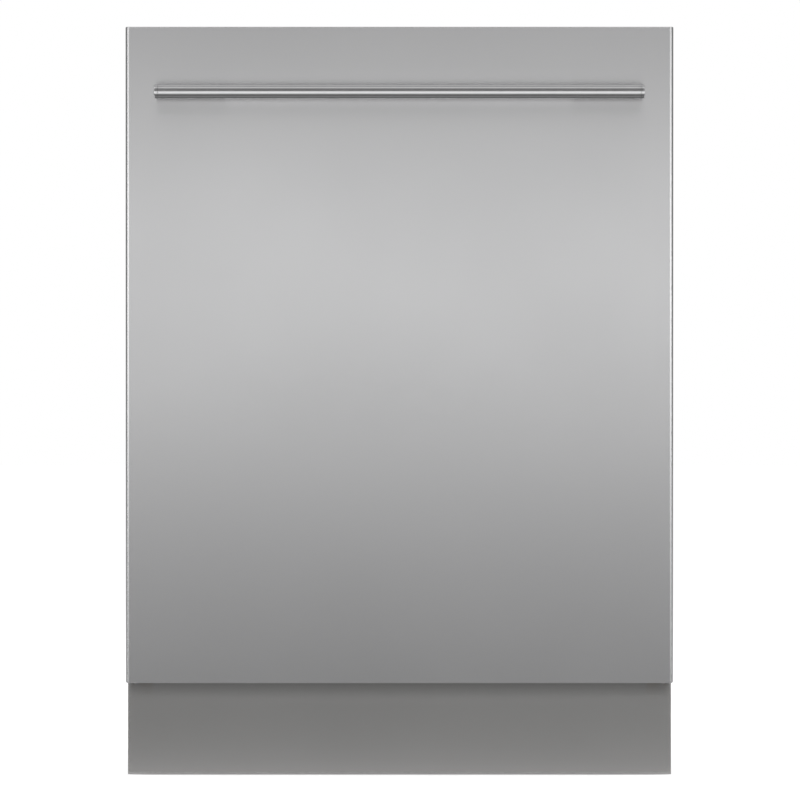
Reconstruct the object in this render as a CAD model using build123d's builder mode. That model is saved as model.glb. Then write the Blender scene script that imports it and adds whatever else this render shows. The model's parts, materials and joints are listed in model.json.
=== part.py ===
from build123d import *
import math
import os

# Integrated dishwasher, 598 mm wide, door closed.
# +Z is up, the front faces -Y, and the origin is at the middle of the footprint, on the floor.
# All sizes are in millimetres.

# Driving sizes of the door and the cabinet
door_width = 598.0
door_height = 716.0
door_clearance = 104.0
panel_thickness = 20.0
handle_reach = 45.0
inner_door_depth = 40.0
seal_gap = 5.0
cabinet_width = 596.0
cabinet_depth = 510.0
worktop_gap = 3.0
plinth_setback = 55.0
plinth_height = 101.8
floor_gap = 1.0

# Sheet thicknesses
skin_wall = 0.8
tub_wall = 0.8
panel_wall = 0.7
carrier_wall = 0.8
liner_wall = 0.8
plinth_wall = 0.8

# Clearances: flat seats, loose pieces, running fits, screw holes and openings for pipes
seat = 0.2
slip = 0.3
run_fit = 0.05
screw_clear = 0.3
hole_clear = 2.0

# How far a cut runs past the face that it opens
past = 1.0

# Tub
tub_width = 554.4
tub_depth = 485.0
tub_floor_z = 140.0
tub_height = 652.0
tub_radius = 40.0
flange_reach = 14.6
flange_step_z = 160.0
flange_step = 5.8
top_flange_reach = 15.0
flange_corner_radius = 6.4
floor_wall = 1.2
sill_drop = 15.0
dish_radius = 185.0
dish_depth = 20.0
bowl_radius = 95.0
filter_ledge = 15.0

# Base tray and feet
tray_floor_z = 30.0
tray_wall = 3.0
tray_front_setback = 4.0
tray_rear_setback = 30.0
foot_radius = 20.0
foot_height = 8.0
foot_top_radius = 1.5
foot_edge = 0.8
foot_stem_radius = 5.0
foot_stem_length = 80.0
foot_nut_height = 10.0
foot_nut_radius = 9.0
foot_boss_radius = 11.0
foot_boss_height = 65.0
foot_inset_x = 250.0
foot_front_setback = 40.0
foot_rear_setback = 45.0

# Door hinge
hinge_setback = 35.0
hinge_z = 112.0
hinge_pin_radius = 4.0
hinge_arm_thickness = 3.0
hinge_hub_radius = 10.0
hinge_lug_radius = 9.0
hinge_plate_thickness = 2.4
hinge_notch_reach = 22.0
hinge_notch_height = 26.0
arm_top_z = 330.0
arm_width = 22.0
tail_length = 45.0
tail_angle = -10.0
tail_radius = 6.0
tail_width = 10.0
spring_radius = 5.0
spring_wire_radius = 1.0
spring_top_z = 300.0
spring_turns = 20

# Handle
handle_length = 532.0
handle_height = 15.0
handle_bar_depth = 15.0
handle_drop = 72.5
handle_wall = 1.8
handle_front_radius = 5.0
handle_rear_radius = 2.0
handle_least_radius = 0.4
cap_thickness = 4.0
cap_plug = 10.0
post_width = 76.0
post_height = 12.0
post_corner_radius = 2.0
post_bore_extra = 2.0
screw_radius = 2.0
screw_head_radius = 3.8
screw_head_height = 2.2

# Racks
rack_half_width = 250.0
rack_front_gap = 20.0
rack_rear_gap = 35.0
wire_radius = 2.0
lower_rack_z = 190.0
lower_rim_z = 330.0
lower_front_rim_z = 296.0
upper_rack_z = 520.0
upper_rim_z = 650.0
wheel_radius = 18.0
wheel_width = 10.0
tine_radius = 1.6
tine_height = 72.0
tine_pitch = 32.0

# Places that follow from the driving sizes
total_depth = handle_reach + panel_thickness + inner_door_depth + seal_gap + cabinet_depth
handle_front_y = -total_depth / 2
door_face_y = handle_front_y + handle_reach
panel_back_y = door_face_y + panel_thickness
liner_y = panel_back_y + inner_door_depth
front_y = liner_y + seal_gap
rear_y = front_y + cabinet_depth
door_bottom_z = door_clearance
door_top_z = door_bottom_z + door_height
cabinet_top_z = door_top_z - worktop_gap
plinth_y = door_face_y + plinth_setback
hinge_y = door_face_y + hinge_setback
half_door = door_width / 2
half_cabinet = cabinet_width / 2
half_tub = tub_width / 2
tub_outer = half_tub + tub_wall
tub_rear_y = front_y + tub_depth
tub_ceiling_z = tub_floor_z + tub_height
tub_middle_y = (front_y + tub_rear_y) / 2
floor_under_z = tub_floor_z - floor_wall
dish_z = tub_floor_z - dish_depth
tray_front_y = front_y + tray_front_setback
tray_rear_y = rear_y - tray_rear_setback
tray_top_z = floor_under_z - seat
tray_inner_floor_z = tray_floor_z + tray_wall

# A round bar that stands on its place, or hangs from it
upward = (Align.CENTER, Align.CENTER, Align.MIN)
downward = (Align.CENTER, Align.CENTER, Align.MAX)

os.makedirs("parts", exist_ok=True)


def write(part, label):
    """Label a finished piece and write it as its own STEP file."""
    part.label = label
    export_step(part, f"parts/{label}.step")


def front_plane(y):
    """Upright plane at y whose sketch x is +X and whose sketch y is +Z."""
    return Plane(origin=(0, y, 0), x_dir=(1, 0, 0), z_dir=(0, -1, 0))


def side_plane(x):
    """Upright plane at x whose sketch x is +Y and whose sketch y is +Z."""
    return Plane(origin=(x, 0, 0), x_dir=(0, 1, 0), z_dir=(1, 0, 0))


def block(xs, ys, zs, mode=Mode.ADD):
    """Rectangular solid between two limits on each axis."""
    middle = [(low + high) / 2 for low, high in (xs, ys, zs)]
    with Locations(tuple(middle)):
        Box(xs[1] - xs[0], ys[1] - ys[0], zs[1] - zs[0], mode=mode)


def rods(starts, direction, length, radius, mode=Mode.ADD):
    """Equal round bars that run from their start points along one direction."""
    places = [Location(Plane(origin=start, z_dir=direction)) for start in starts]
    with Locations(*places):
        Cylinder(radius, length, align=upward, mode=mode)


def arch(half_width, bottom, top, radius):
    """Rectangle that stands on its lower edge, with its two upper corners rounded."""
    with BuildSketch() as outline:
        with Locations((0, (bottom + top) / 2)):
            Rectangle(2 * half_width, top - bottom)
        fillet(outline.vertices().group_by(Axis.Y)[-1], radius)
    return outline.sketch


def notched(half_width, bottom, top, notch_half, notch_z):
    """Rectangle whose two lower corners are cut out up to notch_z, outside notch_half."""
    with BuildSketch() as outline:
        with Locations((0, (notch_z + top) / 2)):
            Rectangle(2 * half_width, top - notch_z)
        with Locations((0, (bottom + notch_z) / 2)):
            Rectangle(2 * notch_half, notch_z - bottom)
    return outline.sketch


def spread(low, high, count):
    """Evenly spaced values from low to high, both included."""
    return [low + (high - low) * i / (count - 1) for i in range(count)]


# Tub wrap: one sheet that makes both sides and the ceiling, with a flange round the front
flange_half = half_tub + flange_reach
flange_low_half = flange_half - flange_step
flange_top_z = tub_ceiling_z + top_flange_reach
with BuildPart() as tub_wrap:
    with BuildSketch(front_plane(front_y)):
        add(arch(tub_outer, tub_floor_z, tub_ceiling_z + tub_wall, tub_radius))
    extrude(amount=-tub_depth)
    with BuildSketch(front_plane(front_y)):
        add(arch(flange_half, flange_step_z, flange_top_z, flange_corner_radius))
    extrude(amount=-tub_wall)
    block((-flange_low_half, flange_low_half), (front_y, front_y + tub_wall), (tub_floor_z, flange_step_z))
    with BuildSketch(front_plane(front_y)):
        add(arch(half_tub, tub_floor_z, tub_ceiling_z, tub_radius - tub_wall))
    extrude(amount=-tub_depth, mode=Mode.SUBTRACT)
write(tub_wrap.part, "tub_wrap")

# Tub rear wall: closes the back of the wrap
with BuildPart() as tub_rear_wall:
    with BuildSketch(front_plane(tub_rear_y)):
        add(arch(tub_outer, floor_under_z, tub_ceiling_z + tub_wall, tub_radius))
    extrude(amount=-tub_wall)
write(tub_rear_wall.part, "tub_rear_wall")

# Softener neck and salt cap, off to the rear right of the spray arm
salt_x = 200.0
salt_setback = 95.0
salt_y = tub_rear_y - salt_setback
salt_neck_radius = 28.0
salt_neck_proud = 4.0
salt_cap_radius = 33.0
salt_cap_height = 12.0

# Filter cylinder, beside the spray arm's post
filter_x = 42.0
filter_offset = 40.0
filter_y = tub_middle_y - filter_offset
filter_radius = 27.0
post_radius = 8.0
post_shoulder_radius = 14.0
filter_ring_radius = bowl_radius + filter_ledge

# Tub floor: side ledges, a round dish with a ledge for the filter plate, and a sill at the front
with BuildPart() as tub_floor:
    block((-tub_outer, tub_outer), (front_y, tub_rear_y), (floor_under_z, tub_floor_z))
    block(
        (-flange_low_half, flange_low_half),
        (front_y, front_y + floor_wall),
        (tub_floor_z - sill_drop, tub_floor_z),
    )
    with BuildSketch(side_plane(0)):
        with BuildLine():
            Polyline(
                (tub_middle_y, floor_under_z),
                (tub_middle_y + dish_radius, floor_under_z),
                (tub_middle_y + filter_ring_radius + floor_wall, dish_z - floor_wall),
                (tub_middle_y, dish_z - floor_wall),
                close=True,
            )
        make_face()
    revolve(axis=Axis((0, tub_middle_y, 0), (0, 0, 1)))
    with BuildSketch(side_plane(0)):
        with BuildLine():
            Polyline(
                (tub_middle_y, tub_floor_z),
                (tub_middle_y + dish_radius + floor_wall, tub_floor_z),
                (tub_middle_y + filter_ring_radius, dish_z),
                (tub_middle_y, dish_z),
                close=True,
            )
        make_face()
    revolve(axis=Axis((0, tub_middle_y, 0), (0, 0, 1)), mode=Mode.SUBTRACT)
    with Locations((0, tub_middle_y, dish_z)):
        Cylinder(bowl_radius, 4 * floor_wall, mode=Mode.SUBTRACT)
    with Locations((salt_x, salt_y, tub_floor_z)):
        Cylinder(salt_neck_radius + slip, 4 * floor_wall, mode=Mode.SUBTRACT)
write(tub_floor.part, "tub_floor")

# Insulation: felt over the sides and ceiling of the tub, and a pad behind it
felt_thickness = 8.0
rear_felt_thickness = 18.0
felt_setback = 30.0
felt_lift = 6.0
felt_front_y = front_y + felt_setback
felt_bottom_z = tub_floor_z + felt_lift
felt_inner = tub_outer + slip
felt_top_z = tub_ceiling_z + tub_wall + slip + felt_thickness
with BuildPart() as insulation_wrap:
    with BuildSketch(front_plane(felt_front_y)):
        add(arch(felt_inner + felt_thickness, felt_bottom_z, felt_top_z, tub_radius + felt_thickness))
    extrude(amount=felt_front_y - tub_rear_y)
    with BuildSketch(front_plane(felt_front_y)):
        add(arch(felt_inner, felt_bottom_z, felt_top_z - felt_thickness, tub_radius))
    extrude(amount=felt_front_y - tub_rear_y, mode=Mode.SUBTRACT)
    with BuildSketch(front_plane(tub_rear_y + tub_wall + slip)):
        add(arch(tub_outer, felt_bottom_z, tub_ceiling_z, tub_radius))
    extrude(amount=-rear_felt_thickness)
write(insulation_wrap.part, "insulation_wrap")

# Base tray: moulding that carries the tub, with side ledges for the side panels and four foot bosses,
# and the plate that closes its rear round the connections
tray_half = tub_outer
tray_ledge_half = half_cabinet - panel_wall - slip
tray_back_edge_y = tray_rear_y - tray_wall - seat / 2
foot_places = [
    (side * foot_inset_x, y)
    for side in (-1, 1)
    for y in (front_y + foot_front_setback, rear_y - foot_rear_setback)
]
spigot_radius = 10.0
spigot_x = -150.0
spigot_z = 72.0
valve_x = 170.0
valve_z = 84.0
valve_thread_radius = 13.2
gland_x = -220.0
gland_z = 84.0
gland_shank_radius = 7.2
gland_flange_radius = 11.0
gland_bore_radius = 4.0
with BuildPart() as tray_moulding:
    block((-tray_half, tray_half), (tray_front_y, tray_back_edge_y), (tray_floor_z, tray_top_z))
    block(
        (-tray_half + tray_wall, tray_half - tray_wall),
        (tray_front_y + tray_wall, tray_rear_y),
        (tray_inner_floor_z, tray_top_z + past),
        Mode.SUBTRACT,
    )
    block(
        (-tray_ledge_half, tray_ledge_half),
        (tray_front_y, tray_back_edge_y),
        (tray_floor_z, tray_inner_floor_z),
    )
    with Locations(*[(x, y, tray_floor_z) for x, y in foot_places]):
        Cylinder(foot_boss_radius, foot_boss_height, align=upward)
    with Locations(*[(x, y, tray_floor_z) for x, y in foot_places]):
        Cylinder(
            foot_stem_radius + 2 * run_fit,
            2 * (foot_boss_height - tray_wall),
            mode=Mode.SUBTRACT,
        )
with BuildPart() as tray_rear_plate:
    block((-tray_half, tray_half), (tray_rear_y - tray_wall, tray_rear_y), (tray_floor_z, tray_top_z))
    for x, z, radius in (
        (spigot_x, spigot_z, spigot_radius + hole_clear),
        (valve_x, valve_z, valve_thread_radius + hole_clear),
        (gland_x, gland_z, gland_shank_radius + slip),
    ):
        rods([(x, tray_rear_y - tray_wall - past, z)], (0, 1, 0), tray_wall + 2 * past, radius, Mode.SUBTRACT)
base_tray = Compound(children=[tray_moulding.part, tray_rear_plate.part])
write(base_tray, "base_tray")

# Levelling feet: each a pad with a ribbed edge and a stem in its boss
foot_names = ["front_left_foot", "rear_left_foot", "front_right_foot", "rear_right_foot"]
for foot_name, (foot_x, foot_y) in zip(foot_names, foot_places):
    with BuildPart() as foot:
        with Locations((foot_x, foot_y, 0)):
            Cylinder(foot_radius, foot_height, align=upward)
        fillet(foot.edges().filter_by(GeomType.CIRCLE).group_by(Axis.Z)[-1], foot_top_radius)
        chamfer(foot.edges().filter_by(GeomType.CIRCLE).group_by(Axis.Z)[0], foot_edge)
        with Locations((foot_x, foot_y, foot_height)):
            Cylinder(foot_stem_radius, foot_stem_length, align=upward)
        with BuildSketch(Plane.XY.offset(foot_height)):
            with Locations((foot_x, foot_y)):
                RegularPolygon(foot_nut_radius, 6)
        extrude(amount=foot_nut_height)
    write(foot.part, foot_name)

# Side panels: thin sheets with folds at the front and rear, notched for the hinge lug
panel_inner = half_cabinet - panel_wall
panel_bottom_z = tray_inner_floor_z + seat
top_sheet_wall = 0.8
panel_top_z = cabinet_top_z - top_sheet_wall - seat
front_fold = 6.0
rear_fold = 12.0
fold_gap = 1.0
hinge_plate_gap = 0.1
hinge_plate_x = panel_inner - hinge_plate_gap
lug_clear = 3.0
for side, label in ((-1, "left_side_panel"), (1, "right_side_panel")):
    with BuildPart() as side_panel:
        block((panel_inner, half_cabinet), (front_y, rear_y), (tray_floor_z, panel_top_z))
        for fold, low_y in ((front_fold, front_y), (rear_fold, rear_y - panel_wall)):
            ys = (low_y, low_y + panel_wall)
            block((half_cabinet - fold, half_cabinet), ys, (panel_bottom_z, panel_top_z))
        block(
            (half_cabinet - front_fold - past, panel_inner),
            (front_y - past, front_y + panel_wall),
            (hinge_z - hinge_lug_radius - lug_clear, hinge_z + hinge_lug_radius + lug_clear),
            Mode.SUBTRACT,
        )
        block(
            (half_cabinet - rear_fold - past, panel_inner),
            (tray_rear_y, rear_y),
            (0, tub_floor_z),
            Mode.SUBTRACT,
        )
        if side < 0:
            mirror(about=Plane.YZ, mode=Mode.REPLACE)
    write(side_panel.part, label)

# Top panel: sheet over the felt with a folded front rail and two holes for the worktop screws
worktop_hole_radius = 2.25
worktop_hole_spacing = 480.0
worktop_hole_setback = 12.0
rail_bottom_z = flange_top_z + seat
with BuildPart() as top_panel:
    block((-half_cabinet, half_cabinet), (front_y, rear_y), (cabinet_top_z - top_sheet_wall, cabinet_top_z))
    block(
        (-half_cabinet + front_fold + fold_gap, half_cabinet - front_fold - fold_gap),
        (front_y, front_y + top_sheet_wall),
        (rail_bottom_z, cabinet_top_z),
    )
    with Locations((0, front_y + worktop_hole_setback, cabinet_top_z)):
        with GridLocations(worktop_hole_spacing, 0, 2, 1):
            Cylinder(worktop_hole_radius, 4 * top_sheet_wall, mode=Mode.SUBTRACT)
write(top_panel.part, "top_panel")

# Rear cover: sheet behind the rear felt, inside the folds of the side panels
cover_wall = 0.8
cover_press_depth = 1.5
cover_margin = 100.0
cover_outer_y = rear_y - panel_wall - seat
cover_inner_y = cover_outer_y - cover_wall
cover_half = panel_inner - slip
press_half = cover_half - cover_margin
press_low_z = tub_floor_z + cover_margin
press_high_z = panel_top_z - cover_margin
with BuildPart() as rear_cover:
    block((-cover_half, cover_half), (cover_inner_y, cover_outer_y), (tub_floor_z, panel_top_z))
    block(
        (-press_half, press_half),
        (cover_inner_y - cover_press_depth, cover_outer_y),
        (press_low_z, press_high_z),
    )
    block(
        (-press_half + cover_wall, press_half - cover_wall),
        (cover_outer_y - cover_press_depth, cover_outer_y),
        (press_low_z + cover_wall, press_high_z - cover_wall),
        Mode.SUBTRACT,
    )
write(rear_cover.part, "rear_cover")

# Door seal: a soft frame on the tub's flange, with a lip strip on the sill
seal_width = 8.0
seal_depth = seal_gap - slip
seal_margin = 0.5
seal_strip_drop = 2.0
seal_outer = flange_low_half - seal_margin
with BuildPart() as door_seal:
    with BuildSketch(front_plane(front_y)):
        add(arch(seal_outer, tub_floor_z, tub_ceiling_z + seal_width, tub_radius + seal_width))
    extrude(amount=seal_depth)
    with BuildSketch(front_plane(front_y)):
        add(arch(seal_outer - seal_width, tub_floor_z, tub_ceiling_z, tub_radius))
    extrude(amount=seal_depth, mode=Mode.SUBTRACT)
    block(
        (-seal_outer, seal_outer),
        (front_y - seal_depth, front_y),
        (tub_floor_z - sill_drop + seal_strip_drop, tub_floor_z - slip),
    )
write(door_seal.part, "door_seal")

# Sump: bowl under the dish, with the spray arm's post and the neck to the wash pump
sump_wall = 3.0
sump_top_z = dish_z - floor_wall - seat
sump_bottom_z = 48.0
sump_rim = 10.0
lower_arm_z = 160.0
arm_thickness = 12.0
hub_shoulder = 4.0
pump_neck_radius = 16.0
pump_neck_z = 82.0
pump_neck_length = 14.0
neck_wall = 2.5
spigot_wall = 2.0
drain_offset = 20.0
neck_reach = 5.0
with BuildPart() as sump:
    with Locations((0, tub_middle_y, sump_bottom_z)):
        Cylinder(bowl_radius + sump_wall, sump_top_z - sump_bottom_z, align=upward)
    fillet(sump.edges().filter_by(GeomType.CIRCLE).group_by(Axis.Z)[0], 2 * sump_wall)
    with Locations((0, tub_middle_y, sump_top_z - sump_wall)):
        Cylinder(bowl_radius + sump_rim, sump_wall, align=upward)
    rods([(bowl_radius, tub_middle_y, pump_neck_z)], (1, 0, 0), pump_neck_length, pump_neck_radius)
    rods([(-bowl_radius, tub_middle_y + drain_offset, spigot_z)], (-1, 0, 0), pump_neck_length, spigot_radius)
    with Locations((0, tub_middle_y, sump_bottom_z + sump_wall)):
        Cylinder(bowl_radius, sump_top_z, align=upward, mode=Mode.SUBTRACT)
    for side, y, z, radius in (
        (1, tub_middle_y, pump_neck_z, pump_neck_radius - neck_wall),
        (-1, tub_middle_y + drain_offset, spigot_z, spigot_radius - spigot_wall),
    ):
        start = (side * (bowl_radius - neck_reach), y, z)
        rods([start], (side, 0, 0), neck_reach + pump_neck_length + past, radius, Mode.SUBTRACT)
    with Locations((0, tub_middle_y, sump_bottom_z)):
        Cylinder(post_shoulder_radius, lower_arm_z - seat - sump_bottom_z, align=upward)
        Cylinder(post_radius, lower_arm_z + arm_thickness - sump_bottom_z, align=upward)
write(sump.part, "sump")

# Filter plate: a perforated disc on the dish's ledge, open for the post and the filter cylinder
plate_thickness = 1.5
plate_z = dish_z + seat
plate_hole_radius = 2.0
plate_hole_pitch = 9.0
plate_margin = 3.0
post_hole_margin = 12.0
edge_hole_margin = 6.0
filter_hole_margin = 8.0
with BuildPart() as filter_plate:
    with BuildSketch(Plane.XY.offset(plate_z)) as plate_outline:
        with Locations((0, tub_middle_y)):
            Circle(filter_ring_radius - plate_margin)
            Circle(post_shoulder_radius + slip, mode=Mode.SUBTRACT)
        with Locations((filter_x, filter_y)):
            Circle(filter_radius + slip, mode=Mode.SUBTRACT)
        holes = []
        rows = int(bowl_radius / plate_hole_pitch)
        for i in range(-rows, rows + 1):
            for j in range(-rows, rows + 1):
                x = i * plate_hole_pitch
                y = j * plate_hole_pitch
                clear_post = math.hypot(x, y) > post_radius + post_hole_margin
                clear_edge = math.hypot(x, y) < bowl_radius - edge_hole_margin
                from_filter = math.hypot(x - filter_x, tub_middle_y + y - filter_y)
                clear_filter = from_filter > filter_radius + filter_hole_margin
                if clear_post and clear_edge and clear_filter:
                    holes.append((x, tub_middle_y + y))
        with Locations(*holes):
            Circle(plate_hole_radius, mode=Mode.SUBTRACT)
    extrude(amount=plate_thickness)
write(filter_plate.part, "filter_plate")

# Filter cylinder: a slotted cup with a rim that rests on the plate and a grip across its mouth
cup_top_z = plate_z + plate_thickness + seat
cup_lift = 8.0
cup_bottom_z = sump_bottom_z + sump_wall + cup_lift
cup_wall = 2.0
cup_rim = 6.0
cup_rim_thickness = 2.5
cup_slot_width = 4.0
cup_slot_margin = 8.0
cup_slots = 12
cup_grip_width = 5.0
cup_grip_depth = 4.0
cup_grip_height = 12.0
with BuildPart() as filter_cylinder:
    with Locations((filter_x, filter_y, cup_bottom_z)):
        Cylinder(filter_radius, cup_top_z - cup_bottom_z, align=upward)
    with Locations((filter_x, filter_y, cup_top_z)):
        Cylinder(filter_radius + cup_rim, cup_rim_thickness, align=upward)
    with Locations((filter_x, filter_y, cup_bottom_z + cup_wall)):
        Cylinder(filter_radius - cup_wall, cup_top_z, align=upward, mode=Mode.SUBTRACT)
    with Locations((filter_x, filter_y, (cup_bottom_z + cup_top_z) / 2)):
        with PolarLocations(filter_radius, cup_slots):
            slot_length = cup_top_z - cup_bottom_z - 2 * cup_slot_margin
            Box(4 * cup_wall, cup_slot_width, slot_length, mode=Mode.SUBTRACT)
    block(
        (filter_x - filter_radius + cup_wall / 2, filter_x + filter_radius - cup_wall / 2),
        (filter_y - cup_grip_width / 2, filter_y + cup_grip_width / 2),
        (cup_top_z - cup_grip_depth, cup_top_z + cup_grip_height),
    )
write(filter_cylinder.part, "filter_cylinder")

# Spray arms: each a flat blade with nozzles in its upper face and a running bore at its hub
arm_half_length = 222.0
arm_root_width = 62.0
arm_tip_width = 34.0
arm_edge_radius = 3.5
arm_neck = 4.0
nozzle_radius = 1.6
nozzle_pitch = 30.0
nozzle_depth = 4.0
nozzle_offset = 6.0


def spray_arm(label, low_z):
    """Blade between low_z and low_z plus its thickness, with nozzles cut in its upper face."""
    top_z = low_z + arm_thickness
    tip_x = arm_half_length - arm_tip_width / 2
    with BuildPart() as arm:
        with BuildSketch(Plane.XY.offset(low_z)):
            with Locations((0, tub_middle_y)):
                Circle(arm_root_width / 2)
            for end in (-1, 1):
                with BuildLine():
                    Polyline(
                        (0, tub_middle_y - arm_root_width / 2 + arm_neck),
                        (end * tip_x, tub_middle_y - arm_tip_width / 2),
                        (end * tip_x, tub_middle_y + arm_tip_width / 2),
                        (0, tub_middle_y + arm_root_width / 2 - arm_neck),
                        close=True,
                    )
                make_face()
                with Locations((end * tip_x, tub_middle_y)):
                    Circle(arm_tip_width / 2)
        extrude(amount=arm_thickness)
        fillet(arm.edges().group_by(Axis.Z)[-1], arm_edge_radius)
        fillet(arm.edges().group_by(Axis.Z)[0], arm_edge_radius)
        nozzles = []
        for i in range(2, int(arm_half_length / nozzle_pitch)):
            for end in (-1, 1):
                nozzles.append((end * i * nozzle_pitch, tub_middle_y + end * nozzle_offset, top_z))
        with Locations(*nozzles):
            Cylinder(nozzle_radius, 2 * nozzle_depth, mode=Mode.SUBTRACT)
        with Locations((0, tub_middle_y, low_z)):
            Cylinder(post_radius + run_fit, 4 * arm_thickness, mode=Mode.SUBTRACT)
    write(arm.part, label)


spray_arm("lower_spray_arm", lower_arm_z)
upper_floor_under_z = upper_rack_z - wire_radius
pipe_height = 14.0
pipe_top_z = upper_floor_under_z - slip
pipe_bottom_z = pipe_top_z - pipe_height
upper_arm_z = pipe_bottom_z - hub_shoulder - arm_thickness
spray_arm("upper_spray_arm", upper_arm_z)

# Feed pipe: up the rear wall, with a docking nozzle for the upper rack and a sprinkler at the ceiling
feed_width = 40.0
feed_depth = 18.0
feed_back_y = tub_rear_y - seat
feed_front_y = feed_back_y - feed_depth
dock_z = (pipe_top_z + pipe_bottom_z) / 2
feed_corner_radius = 6.0
sprinkler_depth = 14.0
sprinkler_radius = 26.0
sprinkler_rose = 4.0
sprinkler_ring = 16.0
sprinkler_holes = 8
sprinkler_hole_depth = 3.0
sprinkler_top_z = tub_ceiling_z - seat
dock_radius = 9.0
dock_root = 2.0
dock_reach = 6.0
dock_bore_radius = 5.0
with BuildPart() as feed_pipe:
    block(
        (-feed_width / 2, feed_width / 2),
        (feed_front_y, feed_back_y),
        (tub_floor_z + seat, sprinkler_top_z),
    )
    fillet(feed_pipe.edges().filter_by(Axis.Z).group_by(Axis.Y)[0], feed_corner_radius)
    block(
        (-feed_width / 3, feed_width / 3),
        (tub_middle_y, feed_back_y),
        (sprinkler_top_z - sprinkler_depth, sprinkler_top_z),
    )
    with Locations((0, tub_middle_y, sprinkler_top_z)):
        Cylinder(sprinkler_radius, sprinkler_depth + sprinkler_rose, align=downward)
    rods([(0, feed_front_y + dock_root, dock_z)], (0, -1, 0), dock_root + dock_reach, dock_radius)
    with Locations((0, tub_middle_y, sprinkler_top_z - sprinkler_depth - sprinkler_rose)):
        with PolarLocations(sprinkler_ring, sprinkler_holes):
            Cylinder(nozzle_radius, 2 * sprinkler_hole_depth, mode=Mode.SUBTRACT)
write(feed_pipe.part, "feed_pipe")

# Water pipe under the upper rack: from the docking nozzle to the upper spray arm's pivot
pipe_width = 30.0
dock_gap = 1.3
pipe_rear_y = feed_front_y - dock_reach - dock_gap
hub_flange = 5.0
hub_clip = 4.0
pipe_hub_extra = 4.0
with BuildPart() as rack_water_pipe:
    block((-pipe_width / 2, pipe_width / 2), (tub_middle_y, pipe_rear_y), (pipe_bottom_z, pipe_top_z))
    with Locations((0, tub_middle_y, pipe_top_z)):
        Cylinder(pipe_width / 2 + pipe_hub_extra, pipe_height, align=downward)
    fillet(rack_water_pipe.edges().group_by(Axis.Z)[0], 3)
    with Locations((0, tub_middle_y, pipe_bottom_z)):
        Cylinder(post_radius + hub_flange, hub_shoulder - slip, align=downward)
        Cylinder(post_radius, hub_shoulder + arm_thickness + slip + hub_clip, align=downward)
    with Locations((0, tub_middle_y, upper_arm_z - slip)):
        Cylinder(post_radius + hub_flange, hub_clip, align=downward)
    rods(
        [(0, pipe_rear_y - dock_reach, dock_z)],
        (0, 1, 0),
        dock_reach + past,
        dock_bore_radius,
        Mode.SUBTRACT,
    )
write(rack_water_pipe.part, "rack_water_pipe")

# Softener tank: salt container beside the sump, with its neck through the tub floor
tank_half_x = 48.0
tank_half_y = 52.0
tank_top_z = 112.0
tank_corner_radius = 8.0
tank_neck_wall = 3.0
tank_floor = 12.0
with BuildPart() as softener_tank:
    block(
        (salt_x - tank_half_x, salt_x + tank_half_x),
        (salt_y - tank_half_y, salt_y + tank_half_y),
        (tray_inner_floor_z + seat, tank_top_z),
    )
    fillet(softener_tank.edges().filter_by(Axis.Z), tank_corner_radius)
    with Locations((salt_x, salt_y, tank_top_z)):
        Cylinder(salt_neck_radius, tub_floor_z + salt_neck_proud - tank_top_z, align=upward)
    with Locations((salt_x, salt_y, tray_inner_floor_z + tank_floor)):
        Cylinder(salt_neck_radius - tank_neck_wall, tub_floor_z, align=upward, mode=Mode.SUBTRACT)
write(softener_tank.part, "softener_tank")

# Salt cap: screws over the neck, with grip ribs round its edge and a bar across the top
salt_cap_grooves = 18
salt_groove_radius = 1.2
salt_groove_gap = 3.0
salt_cap_top_radius = 2.0
salt_grip_margin = 6.0
salt_grip_half = 3.0
salt_grip_height = 3.0
salt_grip_root = 1.0
cap_low_z = tub_floor_z + slip
with BuildPart() as salt_cap:
    with Locations((salt_x, salt_y, cap_low_z)):
        Cylinder(salt_cap_radius, salt_cap_height, align=upward)
    fillet(salt_cap.edges().group_by(Axis.Z)[-1], salt_cap_top_radius)
    with Locations((salt_x, salt_y, cap_low_z)):
        with PolarLocations(salt_cap_radius, salt_cap_grooves):
            groove_length = salt_cap_height - salt_groove_gap
            Cylinder(salt_groove_radius, groove_length, align=upward, mode=Mode.SUBTRACT)
    block(
        (salt_x - salt_cap_radius + salt_grip_margin, salt_x + salt_cap_radius - salt_grip_margin),
        (salt_y - salt_grip_half, salt_y + salt_grip_half),
        (cap_low_z + salt_cap_height - salt_grip_root, cap_low_z + salt_cap_height + salt_grip_height),
    )
    with Locations((salt_x, salt_y, cap_low_z)):
        Cylinder(salt_neck_radius + run_fit, 2 * (salt_neck_proud + seat - slip), mode=Mode.SUBTRACT)
write(salt_cap.part, "salt_cap")

# Wash pump: volute at the sump's neck, then the motor along X, on two saddles
motor_radius = 27.0
volute_radius = 32.0
volute_width = 34.0
motor_length = 84.0
volute_edge_radius = 5.0
motor_root = 1.0
saddle_width = 10.0
saddle_half_depth = 30.0
saddle_drop = 10.0
front_saddle_inset = 12.0
rear_saddle_inset = 22.0
volute_x = bowl_radius + pump_neck_length + seat
with BuildPart() as wash_pump:
    rods([(volute_x, tub_middle_y, pump_neck_z)], (1, 0, 0), volute_width, volute_radius)
    fillet(wash_pump.edges().filter_by(GeomType.CIRCLE), volute_edge_radius)
    motor_x = volute_x + volute_width
    rods([(motor_x - motor_root, tub_middle_y, pump_neck_z)], (1, 0, 0), motor_length, motor_radius)
    for saddle_x in (motor_x + front_saddle_inset, motor_x + motor_length - rear_saddle_inset):
        block(
            (saddle_x, saddle_x + saddle_width),
            (tub_middle_y - saddle_half_depth, tub_middle_y + saddle_half_depth),
            (tray_inner_floor_z + seat, pump_neck_z - saddle_drop),
        )
write(wash_pump.part, "wash_pump")

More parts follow.
